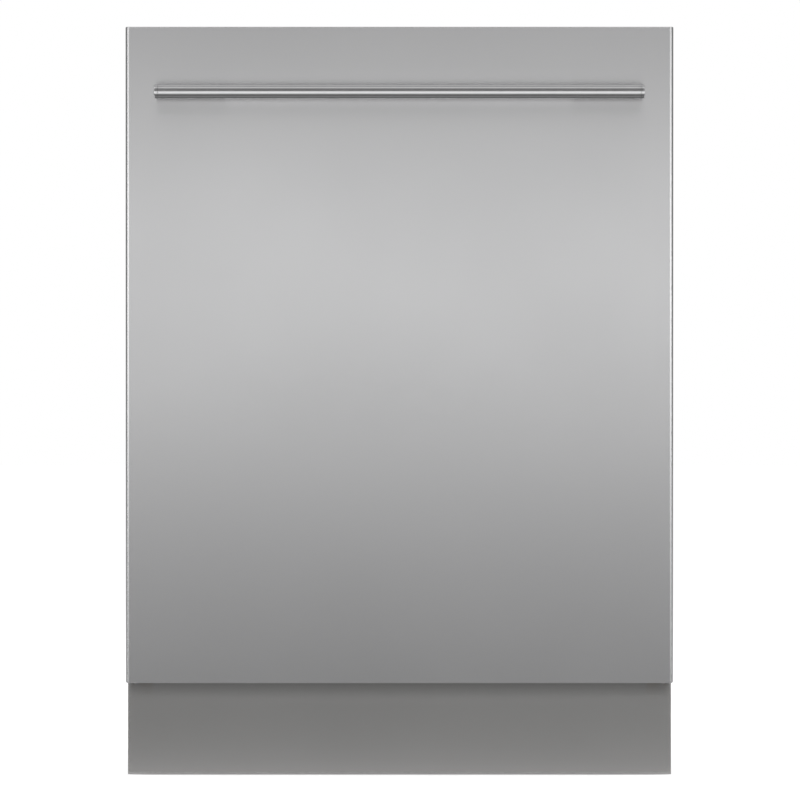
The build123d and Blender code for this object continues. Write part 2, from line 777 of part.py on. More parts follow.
# Drain pump: beside the sump, with its outlet pipe through the tray's rear wall as the hose spigot
drain_x = -bowl_radius - pump_neck_length - seat
drain_body_radius = 24.0
drain_y = tub_middle_y + drain_offset
drain_body_half = 30.0
drain_foot_half_x = 14.0
drain_foot_half_y = 20.0
drain_foot_drop = 10.0
spigot_setback = 1.0
spigot_end_y = rear_y - spigot_setback
spigot_length = 20.0
spigot_bore_radius = 6.0
with BuildPart() as drain_pump:
    drain_body_y = drain_y - drain_body_half
    rods([(spigot_x, drain_body_y, spigot_z)], (0, 1, 0), 2 * drain_body_half, drain_body_radius)
    rods([(drain_x, drain_y, spigot_z)], (-1, 0, 0), drain_x - spigot_x, spigot_radius + spigot_wall)
    pipe_length = spigot_end_y - drain_y - spigot_length / 2
    rods([(spigot_x, drain_y, spigot_z)], (0, 1, 0), pipe_length, spigot_radius - spigot_wall)
    rods([(spigot_x, spigot_end_y - spigot_length, spigot_z)], (0, 1, 0), spigot_length, spigot_radius)
    block(
        (spigot_x - drain_foot_half_x, spigot_x + drain_foot_half_x),
        (drain_y - drain_foot_half_y, drain_y + drain_foot_half_y),
        (tray_inner_floor_z + seat, spigot_z - drain_foot_drop),
    )
    rods(
        [(spigot_x, spigot_end_y - spigot_length, spigot_z)],
        (0, 1, 0),
        spigot_length + past,
        spigot_bore_radius,
        Mode.SUBTRACT,
    )
write(drain_pump.part, "drain_pump")

# Inlet valve: threaded end through the tray's rear wall, solenoid on top, foot on the tray floor
valve_thread_length = 14.0
valve_shank_radius = 12.0
valve_bore_radius = 9.0
valve_body_depth = 30.0
valve_body_half = 16.0
valve_body_rise = 14.0
valve_corner_radius = 3.0
valve_body_top_z = valve_z + valve_body_rise
coil_radius = 12.0
coil_height = 23.0
coil_root = 1.0
valve_thread_y = spigot_end_y - valve_thread_length
valve_body_back_y = tray_rear_y - tray_wall - seat
valve_body_front_y = valve_body_back_y - valve_body_depth
valve_middle_y = (valve_body_front_y + valve_body_back_y) / 2
with BuildPart() as inlet_valve:
    block(
        (valve_x - valve_body_half, valve_x + valve_body_half),
        (valve_body_front_y, valve_body_back_y),
        (tray_inner_floor_z + seat, valve_body_top_z),
    )
    fillet(inlet_valve.edges().filter_by(Axis.Z), valve_corner_radius)
    shank_length = valve_thread_y + valve_thread_length / 2 - valve_middle_y
    rods([(valve_x, valve_middle_y, valve_z)], (0, 1, 0), shank_length, valve_shank_radius)
    rods([(valve_x, valve_thread_y, valve_z)], (0, 1, 0), valve_thread_length, valve_thread_radius)
    with Locations((valve_x, valve_middle_y, valve_body_top_z - coil_root)):
        Cylinder(coil_radius, coil_root + coil_height, align=upward)
    rods(
        [(valve_x, valve_thread_y, valve_z)],
        (0, 1, 0),
        valve_thread_length + past,
        valve_bore_radius,
        Mode.SUBTRACT,
    )
write(inlet_valve.part, "inlet_valve")

# Mains gland: bush in the tray's rear wall, where the lead enters
gland_length = 13.0
gland_flange = 3.8
gland_start_y = tray_rear_y + seat + gland_flange - gland_length
with BuildPart() as mains_gland:
    rods([(gland_x, gland_start_y, gland_z)], (0, 1, 0), gland_length, gland_shank_radius)
    rods([(gland_x, tray_rear_y + seat, gland_z)], (0, 1, 0), gland_flange, gland_flange_radius)
    rods(
        [(gland_x, gland_start_y - past, gland_z)],
        (0, 1, 0),
        gland_length + 2 * past,
        gland_bore_radius,
        Mode.SUBTRACT,
    )
write(mains_gland.part, "mains_gland")

# Kick plate: folded steel front of the base, its folds seated against the tray
plinth_front_radius = 1.5
plinth_fold_inset = 14.0
plinth_return = 4.0
plinth_fold_half = half_cabinet - plinth_fold_inset
with BuildPart() as kick_plate:
    block((-half_door, half_door), (plinth_y, plinth_y + plinth_return), (floor_gap, plinth_height))
    fillet(kick_plate.edges().filter_by(Axis.Z).group_by(Axis.Y)[0], plinth_front_radius)
    block(
        (-half_door + plinth_wall, half_door - plinth_wall),
        (plinth_y + plinth_wall, plinth_y + plinth_return + past),
        (floor_gap, plinth_height),
        Mode.SUBTRACT,
    )
    for low_z in (floor_gap, plinth_height - plinth_wall):
        block(
            (-plinth_fold_half, plinth_fold_half),
            (plinth_y, tray_front_y - seat),
            (low_z, low_z + plinth_wall),
        )
write(kick_plate.part, "kick_plate")

# Hinge plates: one on each side panel, with the lug and pin of the door hinge and the spring's upper tab
carrier_margin = 5.0
carrier_half = half_door - carrier_margin
sheet_gap = 1.2
liner_half = carrier_half - carrier_wall - sheet_gap
arm_outer_x = liner_half - liner_wall
arm_inner_x = arm_outer_x - hinge_arm_thickness
spring_inset = 1.5
spring_x = (arm_outer_x + arm_inner_x) / 2 - spring_inset
tail_y = hinge_y + tail_length * math.cos(math.radians(tail_angle))
tail_z = hinge_z + tail_length * math.sin(math.radians(tail_angle))
plate_inner_x = hinge_plate_x - hinge_plate_thickness
plate_front_y = front_y + panel_wall + slip
plate_depth = 38.0
plate_head = 6.0
tab_margin = 1.0
tab_reach = 3.0
pin_root = 1.0
with BuildPart() as hinge_plates:
    with BuildSketch(side_plane(plate_inner_x)):
        with Locations((hinge_y, hinge_z)):
            Circle(hinge_lug_radius)
        with Locations(((hinge_y + plate_front_y + plate_depth) / 2, hinge_z)):
            Rectangle(plate_front_y + plate_depth - hinge_y, 2 * hinge_lug_radius)
        with Locations((plate_front_y + plate_depth / 2, (hinge_z + spring_top_z) / 2)):
            Rectangle(plate_depth, spring_top_z - hinge_z + 2 * plate_head)
    extrude(amount=hinge_plate_thickness)
    block(
        (spring_x - spring_radius - tab_margin, plate_inner_x + pin_root),
        (plate_front_y, tail_y + spring_radius + tab_reach),
        (spring_top_z + slip, spring_top_z + slip + hinge_plate_thickness),
    )
    pin_length = plate_inner_x - arm_inner_x + 2 * pin_root
    rods([(plate_inner_x + pin_root, hinge_y, hinge_z)], (-1, 0, 0), pin_length, hinge_pin_radius)
    mirror(about=Plane.YZ)
write(hinge_plates.part, "hinge_plates")

# Hinge arms: flat levers inside the door's sides, with the hub on the pin and the tail under the spring
leg_offset = 8.0
leg_front_y = hinge_y - leg_offset
with BuildPart() as hinge_arms:
    with BuildSketch(side_plane(arm_inner_x)):
        with Locations((hinge_y, hinge_z)):
            Circle(hinge_hub_radius)
        with Locations((leg_front_y + arm_width / 2, (hinge_z + arm_top_z) / 2)):
            Rectangle(arm_width, arm_top_z - hinge_z)
        with Locations(Location(((hinge_y + tail_y) / 2, (hinge_z + tail_z) / 2), tail_angle)):
            Rectangle(tail_length, tail_width)
        with Locations((tail_y, tail_z)):
            Circle(tail_radius)
        with Locations((hinge_y, hinge_z)):
            Circle(hinge_pin_radius + run_fit, mode=Mode.SUBTRACT)
    extrude(amount=hinge_arm_thickness)
    mirror(about=Plane.YZ)
write(hinge_arms.part, "hinge_arms")

# Balance springs: upright coils between the hinge tails and the tabs, with the least gap between turns
spring_low_z = tail_z + tail_radius + slip + spring_wire_radius
spring_length = spring_top_z - spring_wire_radius - spring_low_z
spring_pitch = spring_length / spring_turns
with BuildPart() as balance_springs:
    with BuildLine() as coil_path:
        Helix(spring_pitch, spring_length, spring_radius, center=(spring_x, tail_y, spring_low_z))
    with BuildSketch(Plane(origin=coil_path.line @ 0, z_dir=coil_path.line % 0)):
        Circle(spring_wire_radius)
    sweep(is_frenet=True)
    mirror(about=Plane.YZ)
turn_points = 24
coil_steps = spring_turns * turn_points
coil_points = [coil_path.line @ (i / coil_steps) for i in range(coil_steps + 1)]
turn_gaps = [
    (coil_points[i] - coil_points[j]).length - 2 * spring_wire_radius
    for i in range(len(coil_points))
    for j in range(i + turn_points // 2, len(coil_points))
]
print("least gap between the turns of a balance spring", round(min(turn_gaps), 2))
write(balance_springs.part, "balance_springs")

# Latch strike: tongue with a lip turned down, on the tub's flange and the top rail
strike_half = 9.0
strike_base_half = 20.0
strike_lift = 0.5
strike_base_height = 12.0
strike_tongue_rise = 2.5
strike_reach = 22.0
strike_wall = 2.0
strike_lip = 5.0
strike_low_z = tub_ceiling_z + seal_width + strike_lift
strike_tongue_z = strike_low_z + strike_tongue_rise
with BuildPart() as latch_strike:
    block(
        (-strike_base_half, strike_base_half),
        (front_y - strike_wall, front_y),
        (strike_low_z, strike_low_z + strike_base_height),
    )
    block(
        (-strike_half, strike_half),
        (front_y - strike_reach, front_y),
        (strike_tongue_z, strike_tongue_z + strike_wall),
    )
    block(
        (-strike_half, strike_half),
        (front_y - strike_reach, front_y - strike_reach + strike_wall),
        (strike_tongue_z - strike_lip, strike_tongue_z + strike_wall),
    )
write(latch_strike.part, "latch_strike")

# Door skin: folded steel tray with rounded long edges and square-cut top and bottom
handle_z = door_top_z - handle_drop
long_edge_radius = 3.5
short_edge_radius = 1.0
bottom_corner_radius = 2.5
post_x = handle_length / 2 - post_width / 2
post_screw_spacing = 48.0
handle_screw_x = [
    side * (post_x + offset)
    for side in (-1, 1)
    for offset in (-post_screw_spacing / 2, post_screw_spacing / 2)
]
with BuildPart() as door_skin:
    block((-half_door, half_door), (door_face_y, panel_back_y), (door_bottom_z, door_top_z))
    fillet(door_skin.edges().filter_by(Axis.Y).group_by(Axis.Z)[0], bottom_corner_radius)
    fillet(door_skin.edges().filter_by(Axis.Z).group_by(Axis.Y)[0], long_edge_radius)
    fillet(door_skin.edges().filter_by(Axis.X).group_by(Axis.Y)[0], short_edge_radius)
    block(
        (-half_door + skin_wall, half_door - skin_wall),
        (door_face_y + skin_wall, panel_back_y),
        (door_bottom_z + skin_wall, door_top_z - skin_wall),
        Mode.SUBTRACT,
    )
    rods(
        [(x, door_face_y - past, handle_z) for x in handle_screw_x],
        (0, 1, 0),
        skin_wall + 2 * past,
        screw_radius + screw_clear,
        Mode.SUBTRACT,
    )
write(door_skin.part, "door_skin")

# Door core: the board inside the skin, with holes for the handle and panel screws
core_gap = 0.15
panel_screw_x = 250.0
panel_screw_low = 96.0
panel_screw_middle = 300.0
panel_screw_high = 60.0
panel_screw_heights = (
    door_bottom_z + panel_screw_low,
    handle_z - panel_screw_middle,
    handle_z - panel_screw_high,
)
panel_screw_places = [(side * panel_screw_x, z) for side in (-1, 1) for z in panel_screw_heights]
panel_screw_length = 11.0
post_screw_grip = 20.0
post_screw_length = panel_thickness + post_screw_grip
with BuildPart() as door_core:
    block(
        (-half_door + skin_wall + core_gap, half_door - skin_wall - core_gap),
        (door_face_y + skin_wall + core_gap, panel_back_y - seat),
        (door_bottom_z + skin_wall + core_gap, door_top_z - skin_wall - core_gap),
    )
    chamfer(door_core.edges().filter_by(Axis.Z).group_by(Axis.Y)[0], long_edge_radius)
    chamfer(door_core.edges().filter_by(Axis.Y).group_by(Axis.Z)[0], long_edge_radius)
    rods(
        [(x, door_face_y, handle_z) for x in handle_screw_x],
        (0, 1, 0),
        panel_thickness,
        screw_radius + screw_clear,
        Mode.SUBTRACT,
    )
    rods(
        [(x, panel_back_y - seat, handle_z) for x in handle_screw_x],
        (0, -1, 0),
        screw_head_height + seat,
        screw_head_radius + screw_clear,
        Mode.SUBTRACT,
    )
    rods(
        [(x, panel_back_y, z) for x, z in panel_screw_places],
        (0, -1, 0),
        panel_screw_length + past,
        screw_radius + run_fit,
        Mode.SUBTRACT,
    )
write(door_core.part, "door_core")

# Door screws: four for the handle from behind the board, six that hold the board to the carrier
head_sink = 0.1
handle_head_y = panel_back_y - seat - head_sink
carrier_front_y = panel_back_y + seat
carrier_inner_y = carrier_front_y + carrier_wall
with BuildPart() as door_screws:
    head_places = [(x, handle_head_y, handle_z) for x in handle_screw_x]
    rods(head_places, (0, -1, 0), screw_head_height, screw_head_radius)
    rods(head_places, (0, -1, 0), post_screw_length, screw_radius)
    rods(
        [(x, carrier_inner_y + head_sink, z) for x, z in panel_screw_places],
        (0, 1, 0),
        screw_head_height,
        screw_head_radius,
    )
    rods(
        [(x, carrier_inner_y + 2 * head_sink, z) for x, z in panel_screw_places],
        (0, -1, 0),
        panel_screw_length,
        screw_radius,
    )
write(door_screws.part, "door_screws")

# Handle bar: a rounded tube across the door
bar_rear_y = handle_front_y + handle_bar_depth
bar_half = handle_length / 2 - cap_thickness


def handle_outline(inset):
    """Section of the handle bar, seen along X, drawn in by inset."""
    with BuildSketch() as outline:
        with Locations((handle_front_y + handle_bar_depth / 2, handle_z)):
            Rectangle(handle_bar_depth - 2 * inset, handle_height - 2 * inset)
        fillet(outline.vertices().group_by(Axis.X)[0], handle_front_radius - inset)
        fillet(outline.vertices().group_by(Axis.X)[-1], max(handle_rear_radius - inset, handle_least_radius))
    return outline.sketch


with BuildPart() as handle_bar:
    with BuildSketch(side_plane(-bar_half)):
        add(handle_outline(0))
        add(handle_outline(handle_wall), mode=Mode.SUBTRACT)
    extrude(amount=2 * bar_half)
write(handle_bar.part, "handle_bar")

# Handle end caps: a face as large as the bar and a plug inside it
cap_seam = 0.15
cap_edge = 0.5
with BuildPart() as handle_end_caps:
    with BuildSketch(side_plane(bar_half + cap_seam)):
        add(handle_outline(0))
    extrude(amount=cap_thickness - cap_seam)
    chamfer(handle_end_caps.edges().group_by(Axis.X)[-1], cap_edge)
    with BuildSketch(side_plane(bar_half - cap_plug)):
        add(handle_outline(handle_wall + core_gap))
    extrude(amount=cap_plug + cap_seam)
    mirror(about=Plane.YZ)
write(handle_end_caps.part, "handle_end_caps")

# Handle posts: two wide blocks between the bar and the door
with BuildPart() as handle_posts:
    block(
        (post_x - post_width / 2, post_x + post_width / 2),
        (bar_rear_y, door_face_y),
        (handle_z - post_height / 2, handle_z + post_height / 2),
    )
    fillet(handle_posts.edges().filter_by(Axis.Y), post_corner_radius)
    mirror(about=Plane.YZ)
    rods(
        [(x, door_face_y, handle_z) for x in handle_screw_x],
        (0, -1, 0),
        post_screw_grip + post_bore_extra,
        screw_radius + run_fit,
        Mode.SUBTRACT,
    )
write(handle_posts.part, "handle_posts")

# Inner door: carrier sheet towards the board and liner towards the tub, notched for the hinges
strip_height = 42.0
strip_drop = 8.0
strip_top_z = door_top_z - strip_drop
carrier_top_z = strip_top_z - strip_height - seat
notch_half = carrier_half - hinge_notch_reach
notch_z = door_bottom_z + hinge_notch_height
liner_front_y = carrier_inner_y + seat
slot_clear = 2.0
slot_side_clear = 1.0
slot_height = 7.0
carrier_edge_gap = 2.0
arm_slot_front_y = leg_front_y - slot_clear
arm_slot_rear_y = leg_front_y + arm_width + slot_clear


def arm_slots():
    """Openings in the notch's folds where the hinge arms pass."""
    for side in (-1, 1):
        xs = sorted((side * (arm_inner_x - slot_side_clear), side * arm_outer_x))
        zs = (notch_z - past, notch_z - past + slot_height)
        block(xs, (arm_slot_front_y, arm_slot_rear_y), zs, Mode.SUBTRACT)


with BuildPart() as door_carrier:
    with BuildSketch(front_plane(carrier_front_y)):
        add(notched(carrier_half, door_bottom_z, carrier_top_z, notch_half, notch_z))
    extrude(amount=carrier_front_y - liner_y + carrier_edge_gap)
    with BuildSketch(front_plane(carrier_inner_y)):
        add(
            notched(
                carrier_half - carrier_wall,
                door_bottom_z + carrier_wall,
                carrier_top_z - carrier_wall,
                notch_half - carrier_wall,
                notch_z + carrier_wall,
            )
        )
    extrude(amount=carrier_inner_y - liner_y, mode=Mode.SUBTRACT)
    arm_slots()
    rods(
        [(x, carrier_front_y - past, z) for x, z in panel_screw_places],
        (0, 1, 0),
        carrier_wall + 2 * past,
        screw_radius + screw_clear,
        Mode.SUBTRACT,
    )
write(door_carrier.part, "door_carrier")

# Dispenser place on the liner, between the two racks
dispenser_z = 450.0
dispenser_half_x = 97.0
dispenser_half_z = 47.0
dispenser_hole_gap = 1.0
press_depth = 4.0
press_half_x = 240.0
press_heights = ((175.0, 380.0), (520.0, 735.0))
liner_gap = 1.0
liner_low_z = door_bottom_z + carrier_wall + liner_gap
liner_top_z = carrier_top_z - carrier_wall - liner_gap
liner_notch_half = notch_half - carrier_wall - sheet_gap
liner_notch_z = notch_z + carrier_wall + liner_gap
with BuildPart() as door_liner:
    with BuildSketch(front_plane(liner_front_y)):
        add(notched(liner_half, liner_low_z, liner_top_z, liner_notch_half, liner_notch_z))
    extrude(amount=liner_front_y - liner_y)
    with BuildSketch(front_plane(liner_front_y)):
        add(
            notched(
                liner_half - liner_wall,
                liner_low_z + liner_wall,
                liner_top_z - liner_wall,
                liner_notch_half - liner_wall,
                liner_notch_z + liner_wall,
            )
        )
    extrude(amount=liner_front_y - liner_y + liner_wall, mode=Mode.SUBTRACT)
    for low_z, high_z in press_heights:
        block((-press_half_x, press_half_x), (liner_y - press_depth - liner_wall, liner_y), (low_z, high_z))
        block(
            (-press_half_x + liner_wall, press_half_x - liner_wall),
            (liner_y - press_depth, liner_y),
            (low_z + liner_wall, high_z - liner_wall),
            Mode.SUBTRACT,
        )
    block(
        (-dispenser_half_x - dispenser_hole_gap, dispenser_half_x + dispenser_hole_gap),
        (liner_y - liner_wall - past, liner_y + past),
        (
            dispenser_z - dispenser_half_z - dispenser_hole_gap,
            dispenser_z + dispenser_half_z + dispenser_hole_gap,
        ),
        Mode.SUBTRACT,
    )
    arm_slots()
write(door_liner.part, "door_liner")

# Dispenser body: moulding through the liner, with the detergent cup, guides for the lid and the cap's bore
body_proud = 2.2
body_face_y = liner_y + body_proud
body_wall = 4.0
body_flange = 5.0
body_corner_radius = 1.5
cup_x = (-92.0, -24.0)
cup_half_z = 35.0
cup_z = (dispenser_z - cup_half_z, dispenser_z + cup_half_z)
cup_depth = 30.0
lid_thickness = 2.6
lid_margin = 3.0
guide_end_x = 52.0
guide_height = 3.5
guide_margin = 4.0
guide_lip = 2.0
guide_lip_thickness = 1.2
lid_low_z = cup_z[0] - lid_margin
lid_high_z = cup_z[1] + lid_margin
lid_back_y = body_face_y + slip
lid_front_y = lid_back_y + lid_thickness
rinse_x = 76.0
rinse_radius = 15.0
rinse_stem_radius = 8.0
rinse_stem_length = 12.0
rinse_stem_root = 1.0
rinse_bore_extra = 3.0
with BuildPart() as dispenser_body:
    block(
        (-dispenser_half_x, dispenser_half_x),
        (body_face_y - cup_depth - body_wall, body_face_y),
        (dispenser_z - dispenser_half_z, dispenser_z + dispenser_half_z),
    )
    block(
        (-dispenser_half_x - body_flange, dispenser_half_x + body_flange),
        (liner_y + seat, body_face_y),
        (dispenser_z - dispenser_half_z - body_flange, dispenser_z + dispenser_half_z + body_flange),
    )
    fillet(dispenser_body.edges().filter_by(Axis.Y).group_by(SortBy.LENGTH)[0], body_corner_radius)
    guide_top_y = lid_front_y + slip + guide_lip_thickness
    lower_guide_z = lid_low_z - slip - guide_height
    for guide_z, lip_z in ((lower_guide_z, lower_guide_z), (lid_high_z + slip, lid_high_z - guide_lip)):
        guide_x = (cup_x[0] - guide_margin, guide_end_x)
        block(guide_x, (body_face_y, guide_top_y), (guide_z, guide_z + guide_height))
        block(
            guide_x,
            (lid_front_y + slip, guide_top_y),
            (lip_z, lip_z + guide_height + slip + guide_lip),
        )
    block(cup_x, (body_face_y - cup_depth, body_face_y + past), cup_z, Mode.SUBTRACT)
    rods(
        [(rinse_x, body_face_y + past, dispenser_z)],
        (0, -1, 0),
        rinse_stem_length + rinse_bore_extra,
        rinse_stem_radius,
        Mode.SUBTRACT,
    )
write(dispenser_body.part, "dispenser_body")

# Dispenser lid: slides sideways in the guides, with a ribbed grip
lid_ribs = 4
lid_rib_inset = 8.0
lid_rib_pitch = 5.0
lid_rib_width = 2.0
lid_rib_proud = 1.2
lid_rib_half = 22.0
with BuildPart() as dispenser_lid:
    block((cup_x[0] - lid_margin, cup_x[1] + lid_margin), (lid_back_y, lid_front_y), (lid_low_z, lid_high_z))
    for i in range(lid_ribs):
        rib_x = cup_x[1] - lid_rib_inset - lid_rib_pitch * i
        block(
            (rib_x, rib_x + lid_rib_width),
            (lid_front_y, lid_front_y + lid_rib_proud),
            (dispenser_z - lid_rib_half, dispenser_z + lid_rib_half),
        )
write(dispenser_lid.part, "dispenser_lid")

# Rinse aid cap: quarter-turn cap with a bar across it
rinse_cap_height = 3.5
rinse_cap_edge_radius = 1.0
rinse_grip_half_x = 11.0
rinse_grip_half_z = 2.5
rinse_grip_y = (3.0, 6.5)
with BuildPart() as rinse_aid_cap:
    rods([(rinse_x, body_face_y + slip, dispenser_z)], (0, 1, 0), rinse_cap_height, rinse_radius)
    fillet(rinse_aid_cap.edges().filter_by(GeomType.CIRCLE).group_by(Axis.Y)[-1], rinse_cap_edge_radius)
    block(
        (rinse_x - rinse_grip_half_x, rinse_x + rinse_grip_half_x),
        (body_face_y + rinse_grip_y[0], body_face_y + rinse_grip_y[1]),
        (dispenser_z - rinse_grip_half_z, dispenser_z + rinse_grip_half_z),
    )
    rods(
        [(rinse_x, body_face_y + rinse_stem_root, dispenser_z)],
        (0, -1, 0),
        rinse_stem_length,
        rinse_stem_radius - run_fit,
    )
write(rinse_aid_cap.part, "rinse_aid_cap")

# Control strip: hollow moulding along the door's top edge, with the latch pocket
strip_wall = 3.0
strip_setback = 0.5
strip_rear_y = liner_y - strip_setback
strip_front_y = carrier_front_y
strip_low_z = carrier_top_z + seat
strip_edge_radius = 5.0
pocket_half = 22.0
pocket_lift = 10.0
pocket_setback = 8.0
pocket_low_z = strip_low_z + pocket_lift
pocket_high_z = strip_top_z - strip_wall
pocket_front_y = strip_front_y + pocket_setback
button_y = (strip_front_y + strip_rear_y) / 2
button_width = 16.0
button_depth = 9.0
button_height = 7.0
button_proud = 1.2
button_x = {"power_button": -170.0, "programme_button": -110.0, "start_button": 130.0}
display_half_x = 60.0
display_half_y = 9.0
display_recess = 1.2
display_proud = 0.1
display_corner_radius = 0.8
button_corner_radius = 1.5
button_edge_radius = 0.6
with BuildPart() as control_strip:
    block((-carrier_half, carrier_half), (strip_front_y, strip_rear_y), (strip_low_z, strip_top_z))
    top_edges = control_strip.edges().filter_by(Axis.X).group_by(Axis.Z)[-1]
    fillet(top_edges.sort_by(Axis.Y)[-1], strip_edge_radius)
    block(
        (-carrier_half + strip_wall, carrier_half - strip_wall),
        (strip_front_y + strip_wall, strip_rear_y - strip_wall),
        (strip_low_z, strip_top_z - strip_wall),
        Mode.SUBTRACT,
    )
    block(
        (-pocket_half - strip_wall, pocket_half + strip_wall),
        (pocket_front_y - strip_wall, strip_rear_y),
        (pocket_low_z - strip_wall, strip_top_z - strip_edge_radius),
    )
    block(
        (-pocket_half, pocket_half),
        (pocket_front_y, strip_rear_y + past),
        (pocket_low_z, pocket_high_z),
        Mode.SUBTRACT,
    )
    for x in button_x.values():
        block(
            (x - button_width / 2 - slip, x + button_width / 2 + slip),
            (button_y - button_depth / 2 - slip, button_y + button_depth / 2 + slip),
            (strip_top_z - strip_wall - past, strip_top_z + past),
            Mode.SUBTRACT,
        )
    block(
        (-display_half_x, display_half_x),
        (button_y - display_half_y, button_y + display_half_y),
        (strip_top_z - display_recess, strip_top_z + past),
        Mode.SUBTRACT,
    )
write(control_strip.part, "control_strip")

# Display window: dark pane in the strip's recess
with BuildPart() as display_window:
    block(
        (-display_half_x + core_gap, display_half_x - core_gap),
        (button_y - display_half_y + core_gap, button_y + display_half_y - core_gap),
        (strip_top_z - display_recess + display_proud, strip_top_z + display_proud),
    )
    fillet(display_window.edges().filter_by(Axis.Z), display_corner_radius)
write(display_window.part, "display_window")

# Buttons: keys in the strip's holes
for label, x in button_x.items():
    with BuildPart() as button:
        block(
            (x - button_width / 2, x + button_width / 2),
            (button_y - button_depth / 2, button_y + button_depth / 2),
            (strip_top_z + button_proud - button_height, strip_top_z + button_proud),
        )
        fillet(button.edges().filter_by(Axis.Z), button_corner_radius)
        fillet(button.edges().group_by(Axis.Z)[-1], button_edge_radius)
    write(button.part, label)

# Door latch: sprung lever in the pocket, its tooth behind the strike's lip
latch_half = 7.0
latch_pin_radius = 2.5
latch_hub_radius = 4.5
latch_arm_half = 2.0
latch_pivot_setback = 8.0
latch_pivot_drop = 13.0
latch_pivot_y = front_y - strike_reach - latch_pivot_setback
latch_pivot_z = strike_tongue_z - latch_pivot_drop
tooth_gap = 0.8
tooth_front_y = front_y - strike_reach + strike_wall + tooth_gap
tooth_width = 5.0
tooth_chamfer = 3.0
tooth_top_gap = 0.5
tooth_top_z = strike_tongue_z - tooth_top_gap
with BuildPart() as door_latch:
    pin_half = pocket_half - seat
    rods([(-pin_half, latch_pivot_y, latch_pivot_z)], (1, 0, 0), 2 * pin_half, latch_pin_radius)
    rods([(-latch_half, latch_pivot_y, latch_pivot_z)], (1, 0, 0), 2 * latch_half, latch_hub_radius)
    block(
        (-latch_half, latch_half),
        (latch_pivot_y, tooth_front_y + tooth_width),
        (latch_pivot_z - latch_arm_half, latch_pivot_z + latch_arm_half),
    )
    block(
        (-latch_half, latch_half),
        (tooth_front_y, tooth_front_y + tooth_width),
        (latch_pivot_z - latch_arm_half, tooth_top_z),
    )
    chamfer(door_latch.edges().filter_by(Axis.X).group_by(Axis.Z)[-1].sort_by(Axis.Y)[-1], tooth_chamfer)
write(door_latch.part, "door_latch")

# Racks
rack_front_y = liner_y + rack_front_gap
rack_rear_y = tub_rear_y - rack_rear_gap
wire_step = 1.6 * wire_radius
inner_wire = rack_half_width - wire_step
side_wires = 14
end_wires = 13


def floor_grille(floor_z):
    """Wires across and along the rack's floor, fused where they cross."""
    long_wires = spread(-rack_half_width, rack_half_width, end_wires)
    with BuildPart() as grille:
        rods(
            [(-rack_half_width, y, floor_z) for y in spread(rack_front_y, rack_rear_y, side_wires)],
            (1, 0, 0),
            2 * rack_half_width,
            wire_radius,
        )
        rods(
            [(x, rack_front_y, floor_z + wire_step) for x in long_wires],
            (0, 1, 0),
            rack_rear_y - rack_front_y,
            wire_radius,
        )
    return grille.part


def side_grille(side, floor_z, heights):
    """Upright wires on one side of a rack, and the long wires at the given heights inside them."""
    foot_z = floor_z + wire_step + wire_radius + seat
    upright_y = spread(rack_front_y, rack_rear_y, side_wires)[1:-1]
    with BuildPart() as grille:
        rods(
            [(side * rack_half_width, y, foot_z) for y in upright_y],
            (0, 0, 1),
            heights[-1] + wire_radius - foot_z,
            wire_radius,
        )
        rods(
            [(side * inner_wire, rack_front_y, z) for z in heights],
            (0, 1, 0),
            rack_rear_y - rack_front_y,
            wire_radius,
        )
    return grille.part


def end_grille(y, inward, floor_z, heights):
    """Upright wires across the front or rear of a rack, and the cross wires inside them."""
    foot_z = floor_z + wire_step + wire_radius + seat
    reach = inner_wire - wire_radius - slip
    with BuildPart() as grille:
        rods(
            [(x, y, foot_z) for x in spread(-rack_half_width, rack_half_width, end_wires)[1:-1]],
            (0, 0, 1),
            heights[-1] + wire_radius - foot_z,
            wire_radius,
        )
        rods([(-reach, y + inward * wire_step, z) for z in heights], (1, 0, 0), 2 * reach, wire_radius)
    return grille.part


def tine_row(y, floor_z, low_x, high_x, height):
    """A base wire along X on the rack's floor, with upright tines."""
    base_z = floor_z + wire_step + wire_radius + tine_radius + seat
    count = int((high_x - low_x) / tine_pitch)
    with BuildPart() as row:
        rods([(low_x, y, base_z)], (1, 0, 0), high_x - low_x, tine_radius)
        rods(
            [(low_x + tine_pitch / 2 + i * tine_pitch, y, base_z) for i in range(count)],
            (0, 0, 1),
            height,
            tine_radius,
        )
    return row.part


def wire_rack(floor_z, side_heights, front_heights):
    """Floor, sides, front and rear of a rack as separate flat grilles."""
    return [
        floor_grille(floor_z),
        side_grille(-1, floor_z, side_heights),
        side_grille(1, floor_z, side_heights),
        end_grille(rack_front_y, 1, floor_z, front_heights),
        end_grille(rack_rear_y, -1, floor_z, side_heights),
    ]


# Upper rack, with two rows of short tines
shelf_wire_drop = 50.0
upper_low_wire = 30.0
front_cup_row = 80.0
rear_cup_row = 90.0
cup_tine_half = 225.0
cup_tine_height = 45.0
shelf_wire_z = upper_rim_z - shelf_wire_drop
upper_heights = [upper_rack_z + upper_low_wire, shelf_wire_z, upper_rim_z]
upper_pieces = wire_rack(upper_rack_z, upper_heights, upper_heights)
for row_y in (tub_middle_y - front_cup_row, tub_middle_y + rear_cup_row):
    upper_pieces.append(tine_row(row_y, upper_rack_z, -cup_tine_half, cup_tine_half, cup_tine_height))
upper_rack = Compound(children=upper_pieces)
write(upper_rack, "upper_rack")

